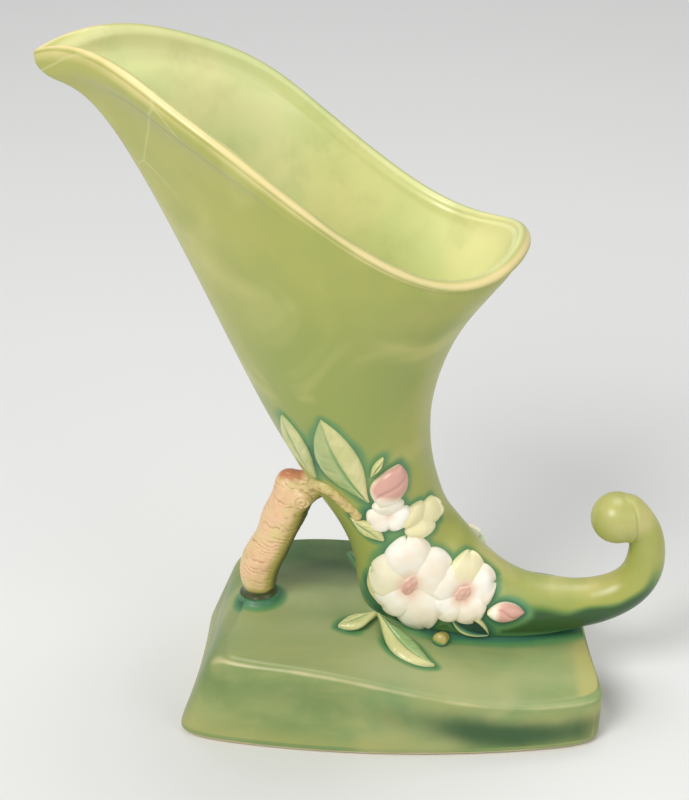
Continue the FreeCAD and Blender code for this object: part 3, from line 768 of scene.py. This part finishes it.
blossom("back_blossom", horn_back, back_centre, 0.80, 5, 0.7)
eye("back_blossom_eye", horn_back, back_centre, 0.9)
bud("back_bud", horn_back, spot(0.262, 0.66), spot(0.330, 0.78), 0.62)
leaf("back_leaf_upper", horn_back, spot(0.270, 0.48), spot(0.430, 0.45), 0.36, 0.05)
leaf("back_leaf_lower", horn_back, spot(0.205, 0.38), spot(0.262, 0.14), 0.42)
back_root = on_bed(horn_back, spot(0.175, 0.30), 1.2)
back_path = [back_root, on_plinth(0.02, 0.40, 1.2), on_plinth(-0.10, 0.54), on_plinth(-0.21, 0.66)]
leaf("back_leaf_foot", *on_path(back_path), 0.34)

relief_tree = tree_of(np.concatenate(relief_points))


# Branch: one field of distances, blended where its bars meet, with bark over it

# x, z and radius along each bar
LEG_STATIONS = (
    (0.000, -0.05, 0.84), (0.005, 0.13, 0.92), (0.030, 0.30, 1.03), (0.115, 0.51, 0.97), (0.200, 0.715, 1.06),
    (0.247, 0.84, 1.03), (0.246, 0.945, 0.78),
)
ELBOW_STATIONS = (0.235, 0.86, 0.70), (0.355, 0.93, 0.80), (0.480, 1.02, 0.74), (0.600, 1.10, 0.62)
LEG_SAMPLES = 70
ELBOW_SAMPLES = 40
STEP = 0.32
foot = np.array([-BRANCH_SETBACK, 0.0, plinth_top(-BRANCH_SETBACK, 0.0)])
field_low = foot + np.array([-12.0, -11.0, -3.0])
field_high = foot + np.array([32.0, 11.0, 50.0])
counts = np.ceil((field_high - field_low) / STEP).astype(int)
axes = [field_low[k] + STEP * np.arange(counts[k]) for k in range(3)]
field_points = np.stack(np.meshgrid(*axes, indexing="ij"), -1).astype(np.float32)
field_x, field_y, field_z = np.moveaxis(field_points, -1, 0)


def branch_samples(stations, count):
    """x, y, z and radius of balls along a bar."""
    x, z, radius = np.transpose(stations)
    places = np.stack([x, 0 * x, z], -1) * BRANCH_HEIGHT + foot
    return Curve(np.column_stack([places, radius * BRANCH_RADIUS])).at(steps(count))


def bar(samples):
    """Distance from a chain of balls, and which of them is nearest."""
    best = np.full(field_points.shape[:3], 1e3, np.float32)
    which = np.zeros(field_points.shape[:3], np.float32)
    for k, (x, y, z, radius) in enumerate(samples):
        away = field_points - np.array([x, y, z], np.float32)
        distance = np.sqrt((away * away).sum(-1)) - np.float32(radius)
        closer = distance < best
        best[closer] = distance[closer]
        which[closer] = k
    return best, which


def joined(a, b, soft):
    h = np.clip(0.5 + 0.5 * (b - a) / soft, 0, 1)
    return b + (a - b) * h - soft * h * (1 - h)


leg_samples = branch_samples(LEG_STATIONS, LEG_SAMPLES)
elbow_samples = branch_samples(ELBOW_STATIONS, ELBOW_SAMPLES)
elbow_samples[:, 3] += 1.4 * smooth(0.6, 1.0, steps(ELBOW_SAMPLES))
cut_start, cut_run = leg_samples[-1, :3], np.array([-0.15, 0, 0.9])
cut_samples = [np.append(cut_start + cut_run * s, r) for s, r in ((-1.5, 4.7), (0.0, 4.5), (1.5, 3.9), (2.6, 3.2))]
knot_place = foot + np.array([0.350, 0, 0.93]) * BRANCH_HEIGHT
knot_run = np.array([-0.10, -0.97, -0.22])
knot_samples = [np.append(knot_place + knot_run * s, 3.0 + 0.25 * math.sin(2.4 * s)) for s in np.linspace(0, 4.8, 16)]
leg_field, leg_which = bar(leg_samples)
elbow_field, elbow_which = bar(elbow_samples)
cut_field, _ = bar(cut_samples)
knot_field, _ = bar(knot_samples)
from_knot = field_points - knot_place
down_knot = (from_knot * knot_run).sum(-1)
off_knot = np.linalg.norm(from_knot - down_knot[..., None] * knot_run, axis=-1)
knot_field = np.maximum(knot_field, down_knot - 6.4 + 0.2 * np.cos(2 * np.pi * off_knot / 1.7))
field = joined(joined(leg_field, cut_field, 2.2), elbow_field, 2.6)

sway = 0.9 * noise(field_points, 4.2, 3) + 0.35 * noise(field_points, 1.9, 4)
bands = np.cos(2 * np.pi * ((field_z + 0.25 * field_x) / 1.5 + sway))
breaks = noise(field_points * np.array([0.42, 0.42, 1.5]), 2.4, 12)
wrinkle = smooth(0.45, 1.0, bands) * smooth(-0.35, 0.45, breaks)
lumps = noise(field_points, 6.5, 5)
field = field + 0.34 * wrinkle + 0.07 * noise(field_points, 1.1, 13) - 0.5 * lumps
knot_field = knot_field + 0.16 * np.cos(2 * np.pi * down_knot / 1.5)
field = joined(field, knot_field, 1.1)
from_collar = np.hypot(field_x - foot[0], field_y) - 4.8
field = joined(field, np.hypot(from_collar, field_z - foot[2] - 0.4) - 1.5, 2.2)

# The elbow ends inside the horn's wall
ELBOW_DEPTH = 2.4
on_under = np.linspace(0.3, 0.8, 400)
under_line = UNDER.at(on_under)
met = np.linalg.norm(under_line[:, None] - elbow_samples[None, :, [0, 2]], axis=-1).min(1).argmin()
run = under_line[met + 1] - under_line[met]
inward = np.array([run[1], -run[0]]) / np.linalg.norm(run)
inward = inward * np.sign(inward @ (UPPER.at(on_under[met]) - under_line[met]))
depth = (field_x - under_line[met, 0]) * inward[0] + (field_z - under_line[met, 1]) * inward[1]
field = np.maximum(field, (depth - ELBOW_DEPTH).astype(np.float32))

grid = openvdb.FloatGrid()
grid.copyFromArray(field.astype(np.float32))
points, quads = grid.convertToQuads(isovalue=0.0)
points = points.astype(float) * STEP + field_low
cells = tuple(np.clip(((points - field_low) / STEP).round().astype(int), 0, counts - 1).T)
from_knot_end = np.linalg.norm(points - (knot_place + knot_run * 5), axis=1)
up_share = (points[:, 2] - foot[2]) / BRANCH_HEIGHT
# Painted shade: the branch's right side goes olive and then dark olive, less near the top and round the knot's end.
rightness = (points[:, 0] - leg_samples[leg_which[cells].astype(int), 0]) / BRANCH_RADIUS
olive = smooth(-0.1, 1.0, rightness) * (1 - 0.7 * smooth(0.86, 1.0, up_share)) * 1.25
olive = olive * smooth(2.0, 5.5, from_knot_end)
top_red = smooth(0.98, 1.07, up_share) * (1 - smooth(3, 7, points[:, 0] - cut_start[0])) * 0.62
neck = smooth(0.35, 0.9, elbow_which[cells] / ELBOW_SAMPLES) * (elbow_field[cells] < leg_field[cells])
above = above_plinth(points)
at_foot = 1 - smooth(3.6, 7.0, above + 0.6 * noise(points, 3, 8))
make(
    "vis_branch", points, quads.tolist(),
    ["branch_leg", "branch_elbow", "branch_cut_end", "branch_knot", "branch_collar"], "bark_glaze", bark_glaze,
    crease=0.85 * wrinkle[cells] * (1 - at_foot), olive=np.maximum(olive, 1.25 * at_foot), blush=1.3 * top_red,
    neck=0.8 * neck, pool=0.9 * (1 - smooth(0.8, 2.4, above)),
)
branch_tree = tree_of(points[::3])

# Twig on the horn's front
TWIG_SPOTS = ((0.497, 0.06), (0.503, 0.20), (0.477, 0.271), (0.440, 0.315))
twig = Curve([on_bed(horn_front, spot(along, across)) for along, across in TWIG_SPOTS])
t = steps(150)
places, headings = twig.at(t), twig.heading(t)
outward = horn_front(places[:, [0, 2]], np.ones(len(t))) - horn_front(places[:, [0, 2]], np.zeros(len(t)))
across = unit(np.cross(headings, outward))
outward = np.cross(across, headings)
girth = TWIG_RADIUS * np.interp(t, steps(6), (1.25, 1.1, 1.0, 0.95, 0.9, 0.8))
girth = girth * np.sqrt(1 - smooth(0.94, 1.02, t))
turn = circle(40)[None, :, None]
spoke = across[:, None, :] * np.cos(turn) + outward[:, None, :] * np.sin(turn)
on_bark = places[:, None, :] + spoke * TWIG_RADIUS
rough = noise(on_bark, 1.1, 21)
peel = np.maximum(noise(on_bark * np.array([1.0, 0.6, 1.0]), 1.6, 22), 0)
points, faces = tube(places[:, None, :] + spoke * (girth[:, None] * (1 + 0.22 * rough - 0.2 * peel))[..., None])
make(
    "vis_branch_twig", points, faces, ["branch_twig"], "bark_glaze", bark_glaze,
    crease=0.7 * peel + 0.7 * np.maximum(-rough, 0), olive=0.45, blush=0.0, neck=0.0, pool=0.0,
)


# Horn and tail: one skin from the end of the curl along the tail and the horn, over the lip and down the cavity

SIDES = 240
# x, z and radius along the tail
TAIL_STATIONS = (
    (0.00, 0.00, 1.12), (0.25, 0.02, 0.97), (0.53, 0.08, 0.89), (0.80, 0.205, 0.81), (0.965, 0.41, 0.76),
    (1.00, 0.64, 0.70), (0.97, 0.82, 0.63), (0.86, 0.955, 0.66), (0.68, 1.00, 0.80),
)
root = horn_rings(0.0, 40)[0].mean(0)
x, z, radius = np.transpose(TAIL_STATIONS)
tail = Curve(np.stack([root[0] + x * TAIL_REACH, 0 * x, root[2] + z * CURL_HEIGHT, radius * KNOB_RADIUS], -1))
knob_centre = root + np.array([0.642 * TAIL_REACH, 0, 0.975 * CURL_HEIGHT])


def tail_tube(t):
    samples = tail.at(t)
    return round_tube(samples[:, :3], Curve(tail.values[:, :3]).heading(t), samples[:, 3:], SIDES)


def blend_swell(gap):
    """How far a skin swells to blend with another one that is this far off."""
    return np.clip(KNOB_BLEND - gap, 0, None) ** 2 / (4 * KNOB_BLEND)


def more_to_right(x):
    """The glaze pools more round the tail than round the horn."""
    return 0.35 + 0.65 * smooth(-4, 14, x)


t = steps(150)[1:]
tail_rings = tail_tube(t)
tail_rings += (horn_rings(0.0, SIDES) - tail_tube(np.zeros(1))) * (1 - smooth(0.0, 0.22, t))[:, None, None]
spoke = unit(tail_rings - tail_rings.mean(1, keepdims=True))
from_ball = np.linalg.norm(tail_rings - knob_centre, axis=2) - KNOB_RADIUS
tail_rings = tail_rings + spoke * blend_swell(np.abs(from_ball))[..., None]
last = steps(15)[1:-1]
near_lip, droop = LIP_START + LIP_SPAN * last, -WALL / 2 * last**1.35
along = np.concatenate([np.linspace(0, 0.66, 380), np.linspace(0.66, LIP_START, 130)[1:]])
outer = np.concatenate([horn_rings(along, SIDES), horn_rings(near_lip, SIDES, 0, droop)])
along = np.concatenate([along, near_lip])
over_lip = steps(17)
arc = np.linspace(0, np.pi, 17)
lip = horn_rings(1, SIDES, -WALL / 2 * (1 - np.cos(arc)), -WALL / 2 * (1 - np.sin(arc)))
inner = horn_rings(np.linspace(LIP_START, CAVITY_END, 150), SIDES, -WALL)
inner = np.concatenate([horn_rings(near_lip, SIDES, -WALL, droop)[::-1], inner])
parts = tail_rings[::-1], outer, lip, inner


def by_part(*values):
    """A value for each ring, from a value or a row of them for each part."""
    return np.concatenate([np.broadcast_to(value, len(part)) for value, part in zip(values, parts)])


rings = np.concatenate(parts)
meet = len(tail_rings)
for _ in range(150):
    run = rings[meet - 31:meet + 31]
    rings[meet - 30:meet + 30] = (run[:-2] + 2 * run[1:-1] + run[2:]) / 4
waver = 0.25 * noise(rings, 26, 31)[..., None] + 0.05 * noise(rings, 9, 32)[..., None]
steady = by_part(0, 0.6 * smooth(0.0, 0.2, along), 0, 0)
rings = rings + unit(rings - rings.mean(1, keepdims=True)) * waver * steady[:, None, None]
points, faces = tube(rings)

# Below 0 along the tail, from 0 to 1 along the horn
along_all = by_part(-t[::-1], along, 1, 1)
outside = by_part(True, True, False, False)
lowness = (1 + np.cos(circle(SIDES))) / 2
# Painted shade over the lower side of the tail and of the horn's foot.
reach_of_dusk = (1 - smooth(0.3, 0.72, -along_all)) * (1 - smooth(0.10, 0.27, along_all)) * outside
bound = (0.15 + 0.25 * smooth(0.0, 0.5, -along_all))[:, None]
dusk = 1.25 * smooth(bound, bound + 0.36, lowness[None, :] + 0.10 * noise(rings, 9, 41)) * reach_of_dusk[:, None]
inside = by_part(0, 0, smooth(0.3, 0.75, over_lip), 1)
thin_lip = by_part(
    0,
    0.62 * smooth(0.90, 1.0, along) ** 3,
    0.2 + 0.65 * bump(over_lip - 0.24, 0.22),
    0.15 * (1 - smooth(0, 0.05, steps(len(inner)))),
)
# Painted highlight: lighter along the top of the tail and of the horn's foot.
painted_top_highlight = 0.48 * (1 - smooth(0.02, 0.5, lowness))[None, :] * outside[:, None]
painted_top_highlight = painted_top_highlight * (1 - smooth(0.16, 0.34, along_all))[:, None] * smooth(-0.75, -0.3, along_all)[:, None]
thin_curl = 0.52 * smooth(0.60, 0.88, -along_all)
thin = np.maximum(np.maximum(thin_lip[:, None], painted_top_highlight), thin_curl[:, None])

# Pools round the relief, at chosen places between it, over the plinth and round the branch
flat = rings.reshape(-1, 3)
near = np.repeat(outside, SIDES) & (flat[:, 2] < 110)
from_relief = nearest(relief_tree, flat, near)
strength = 0.64 + 0.42 * (1 - smooth(26, 52, flat[:, 2])) + 0.24 * noise(flat, 8, 43)
for place, size, amount in ((spot(0.270, 0.10), 9, 0.55), (spot(0.545, 0.29), 7, 0.35), (spot(0.42, 0.36), 7, 0.35)):
    away = np.linalg.norm(flat - on_bed(horn_front, place), axis=1)
    strength = strength + amount * bump(away, size)
pool_width = 3.0 + 1.2 * noise(flat, 12, 44) + 1.2 * np.maximum(strength - 0.9, 0)
pool = np.maximum(strength * bump(from_relief, pool_width, 1.4), 0)
away = np.linalg.norm(flat - on_bed(horn_front, spot(0.272, 0.12)), axis=1)
pool = np.maximum(pool, (1.0 + 0.3 * noise(flat, 5, 45)) * bump(away, 6.5))
over_plinth = np.abs(flat[:, 0] - 3) < 66
standing = 1.2 * bump(np.maximum(above_plinth(flat), 0), 4.0, 1.5) * more_to_right(flat[:, 0])
pool = np.maximum(pool, np.where(near & over_plinth, standing, 0))
pool = np.maximum(pool, 0.6 * bump(nearest(branch_tree, flat, near), 3.0, 1.4))
make(
    "vis_horn_and_tail", points, faces, ["horn_shell", "tail_scroll"], "green_glaze", horn_glaze,
    dusk=dusk, inside=inside[:, None], thin=thin, pool=np.concatenate([pool, [0, 0]]),
)
body_tree = BVHTree.FromPolygons([tuple(p) for p in points], faces)


def from_body(point):
    """Distance from the horn and tail, below 0 inside them."""
    touch, normal, _, gap = body_tree.find_nearest(Vector(point))
    return gap if (Vector(point) - touch).dot(normal) > 0 else -gap


# Ball at the curl's end, swollen where it meets the curl
lean = np.linspace(-np.pi / 2, np.pi / 2, 81)[1:-1, None]
turn = circle(120)
round_ball = KNOB_RADIUS * np.cos(lean)
ball = np.stack([round_ball * np.cos(turn), round_ball * np.sin(turn), KNOB_RADIUS * np.sin(lean) + 0 * turn], -1)
ball = knob_centre + ball * (1 + 0.012 * noise(ball, 7, 51)[..., None])
gap = np.array([from_body(point) for point in ball.reshape(-1, 3)]).reshape(ball.shape[:2])
swell = np.where(gap > 0, blend_swell(gap), KNOB_BLEND / 4 + 0.6 * gap)
towards = tail.at(0.86)[:3] - knob_centre
facing = smooth(0.1, 0.7, (ball - knob_centre) @ towards / np.linalg.norm(towards) / KNOB_RADIUS)
ball = ball + (ball - knob_centre) / KNOB_RADIUS * (np.maximum(swell, 0) * facing)[..., None]
points, faces = tube(ball)
make(
    "vis_tail_knob", points, faces, ["tail_knob"], "green_glaze", horn_glaze,
    dusk=0.0, inside=0.0, thin=0.45, pool=0.0,
)


# Plinth, raised in a soft fillet where the horn, the tail and the branch stand on it

COLS = 640
CREST_STEPS = 10
TOP_STEPS = 150
LEG_FILLET = 3.0
turns = circle(COLS, 0.5)
turns = turns + 0.18 * np.sin(4 * turns)
u, v = plan_shares(turns)
edge = crest_point(turns)
crest_round = CREST_ROUND + 4.0 * smooth(0.90, 1.0, -u)
rim = crest_point(turns, crest_round)
middle = rim.mean(0)


def plan_ring(z, inset=0.0):
    return plan_point(turns, 0 * turns + z, inset)


def top_ring(share):
    ring = middle + (rim - middle) * share
    return np.stack([ring[:, 0], ring[:, 1], plinth_top(ring[:, 0], ring[:, 1])], -1)


def fillet_rise(radius, distance):
    reach = np.clip(radius - distance, 0, radius)
    return radius - np.sqrt(radius**2 - reach**2)


def leg_pool(distance):
    return 0.85 * bump(distance, 2.8, 1.8)


under = [plan_ring(UNDERSIDE, 7.0), plan_ring(0.0, 5.8)]
lower_round = [
    plan_ring(FOOT_ROUND * (1 - math.sin(a)), FOOT_ROUND * (1 - math.cos(a))) for a in np.linspace(np.pi / 2, 0, 9)
]
flank = [plan_ring(FOOT_ROUND + (edge[:, 2] - crest_round - FOOT_ROUND) * share) for share in steps(40)[1:-1]]
upper_round = [
    plan_ring(edge[:, 2] - crest_round * (1 - math.sin(a)), crest_round * (1 - math.cos(a)))
    for a in np.linspace(0, np.pi / 2, CREST_STEPS + 1)[:-1]
]
inwards = [top_ring(share) for share in np.linspace(1, 0.01, TOP_STEPS)]
parts = under, lower_round, flank, upper_round, inwards
rings = np.concatenate(parts)
kinds = np.repeat(np.arange(len(parts)), [len(part) for part in parts])
in_flank, in_round, in_top = kinds == 2, kinds == 3, kinds == 4

top = rings[in_top].reshape(-1, 3)
raised = top.copy()
distance = np.array([body_tree.find_nearest(Vector(p))[3] for p in top])
from_leg = np.maximum(np.hypot(top[:, 0] - foot[0], top[:, 1]) - BRANCH_FOOT_RADIUS, 0)
raised[:, 2] += fillet_rise(3.6 + 4.4 * (1 - smooth(-8, 12, top[:, 0])), distance)
raised[:, 2] += fillet_rise(LEG_FILLET, from_leg) * 0.7
raised[:, 2] += 0.12 * noise(top, 14, 61)
rings[in_top] = raised.reshape(-1, COLS, 3)

pool = np.zeros(rings.shape[:2])
pool[in_top] = np.maximum(
    1.25 * bump(distance, 3.6, 1.5) * more_to_right(top[:, 0]),
    np.maximum(leg_pool(from_leg), 0.9 * bump(nearest(relief_tree, raised), 2.2, 1.4)),
).reshape(-1, COLS)
from_foot = np.linalg.norm(rings[~in_top] - foot, axis=-1) - BRANCH_FOOT_RADIUS
pool[~in_top] = leg_pool(np.maximum(from_foot, 0))

x, y, level = np.moveaxis(rings, -1, 0)
drop = (edge[:, 2] - level) / edge[:, 2]
right = smooth(-10, 45, x)
# Painted shade: a darker band under the crest, deeper towards the right end.
under_crest = bump(drop - 0.32 - 0.32 * right, 0.28 + 0.06 * right) * in_flank[:, None]
dusk = under_crest * (0.40 + 0.95 * right) * (0.85 + 0.35 * noise(rings, 22, 71))
# Painted shade at the left end.
left_end = 0.3 * smooth(-0.90, -0.99, u)[None, :] * (in_flank | in_round)[:, None]
# On the top, painted shadow behind the horn and the branch, and painted shade over the back part.
behind = 0.95 * bump(y - 15, 10) * (1 - smooth(5, 30, x)) + 0.7 * smooth(16, 32, y)
dusk = np.where(in_top[:, None], behind, np.maximum(dusk, left_end))

thin = np.zeros(rings.shape[:2])
thin[in_flank] = 0.42 * (1 - smooth(0.0, 0.22, drop[in_flank] - 0.02))
thin[in_round] = 0.85 * bump(steps(CREST_STEPS) - 0.45, 0.38)[:, None]
thin[in_top] = 0.3 * (1 - smooth(0.0, 0.03, steps(TOP_STEPS)))[:, None]
thin = thin * (smooth(0.80, 0.99, np.abs(v)) * (0.75 + 0.25 * noise(edge, 16, 73)))[None, :]
corner = bump(np.abs(u) - np.abs(v), 0.022)[None, :] * in_flank[:, None]
thin = np.maximum(thin, 0.42 * corner * smooth(0.1, 0.3, drop) * (x > 0))
thin = np.maximum(thin, np.where((kinds <= 2)[:, None], 1.1 * (1 - smooth(0.6, 2.2, level)), 0))

low_warm = np.maximum(0.7 * smooth(0.35, 1.0, drop) * (1 - 0.9 * right), 0.6 * smooth(0.75, 1.0, u)[None, :])
end_warm = 0.5 * smooth(44, 58, x) + 0.5 * smooth(55, 59, x)
warm = np.where(in_top[:, None], end_warm, low_warm * in_flank[:, None])
# Painted light over the crest and the top, less towards the right and fading towards the back.
over_crest = in_top.astype(float)
over_crest[in_round] = steps(CREST_STEPS) ** 1.5
pale = over_crest[:, None] * (0.46 - 0.22 * right + 0.22 * noise(rings * np.array([0.5, 1.6, 1.0]), 13, 74))
pale = np.maximum(pale * (1 - smooth(6, 24, y)), 0)
points, faces = tube(rings, [np.array([0, 0, UNDERSIDE]), None])
make(
    "vis_plinth", points, faces, ["plinth_shell"], "plinth_glaze", plinth_glaze,
    pool=pool, dusk=dusk, thin=thin, warm=warm, pale=pale,
)

# Stem stub on the plinth
place, heading = on_plinth(0.27, -0.27), unit(np.array([-0.3, -0.85, 0.45]))
side = unit(np.cross(heading, [0, 0, 1.0]))
lift = np.cross(side, heading)
end_round = np.cos(np.linspace(0, np.pi / 2, 8))[1:]
shaft = np.linspace(0, 3.9, 20)
along = np.concatenate([shaft, 4.4 - 0.5 * end_round])[:, None, None]
girth = np.concatenate([2.2 + 0.12 * np.sin(shaft * 3), 1.6 + 0.6 * end_round])[:, None, None]
turn = circle(36)[:, None]
points, faces = tube(place + heading * along + (side * np.cos(turn) + lift * np.sin(turn)) * girth)
make(
    "vis_stem_stub", points, faces, ["stem_stub"], "bark_glaze", bark_glaze,
    crease=0.5 * np.sin(np.arange(len(along)) * 1.1)[:, None] ** 2, olive=0.8, blush=0.0, neck=0.0,
    pool=0.9 * (1 - smooth(0.3, 2.2, above_plinth(points))),
)

plinth_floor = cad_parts["plinth_floor"]
plinth_floor.data.materials.clear()
plinth_floor.data.materials.append(clay)


# Studio, with the camera that was fitted to the photo. Focal length and centre are in the photo's pixels.

PHOTO_WIDTH, PHOTO_HEIGHT = 689, 800
FOCAL = 2210
CENTRE_X, CENTRE_Y = 350, 394
DISTANCE = 0.65
SENSOR = 36
target = Vector((-0.004782, 0.0, 0.1))
az, el = math.radians(2), math.radians(28.5)
back = Vector((math.sin(az) * math.cos(el), -math.cos(az) * math.cos(el), math.sin(el)))
camera = add_object("camera", bpy.data.cameras.new("camera"))
camera.location = target + back * DISTANCE
camera.rotation_euler = back.to_track_quat("Z", "Y").to_euler()
camera.data.sensor_width = SENSOR
camera.data.lens = FOCAL / PHOTO_HEIGHT * SENSOR
camera.data.shift_x = (PHOTO_WIDTH / 2 - CENTRE_X) / PHOTO_HEIGHT
camera.data.shift_y = (CENTRE_Y - PHOTO_HEIGHT / 2) / PHOTO_HEIGHT
scene.camera = camera

floor_mesh = bpy.data.meshes.new("floor")
floor_mesh.from_pydata([(-3, -3, 0), (3, -3, 0), (3, 3, 0), (-3, 3, 0)], [], [(0, 1, 2, 3)])
floor = add_object("floor", floor_mesh)
floor_look = Finish("studio_floor", (226, 225, 222), 0.7)
floor_look.layer(floor_look.noise(3, 2), (230, 229, 227))
floor_mesh.materials.append(floor_look.done())


def lamp(name, place, power, across):
    data = bpy.data.lights.new(name, "AREA")
    data.shape = "DISK"
    data.size = across
    data.energy = power
    light = add_object(name, data)
    light.location = place
    light.rotation_euler = (Vector(place) - Vector((0, 0, 0.09))).to_track_quat("Z", "Y").to_euler()


lamp("key", (-0.5, -0.7, 0.95), 9, 0.6)
lamp("fill", (0.8, -0.6, 0.5), 2.4, 0.8)
lamp("top", (0.1, 0.3, 1.2), 4.5, 0.7)
world = bpy.data.worlds.new("world")
world.use_nodes = True
sky = world.node_tree.nodes["Background"].inputs
sky["Color"].default_value = (0.9, 0.92, 0.95, 1)
sky["Strength"].default_value = 0.45
scene.world = world
scene.view_settings.view_transform = "Standard"
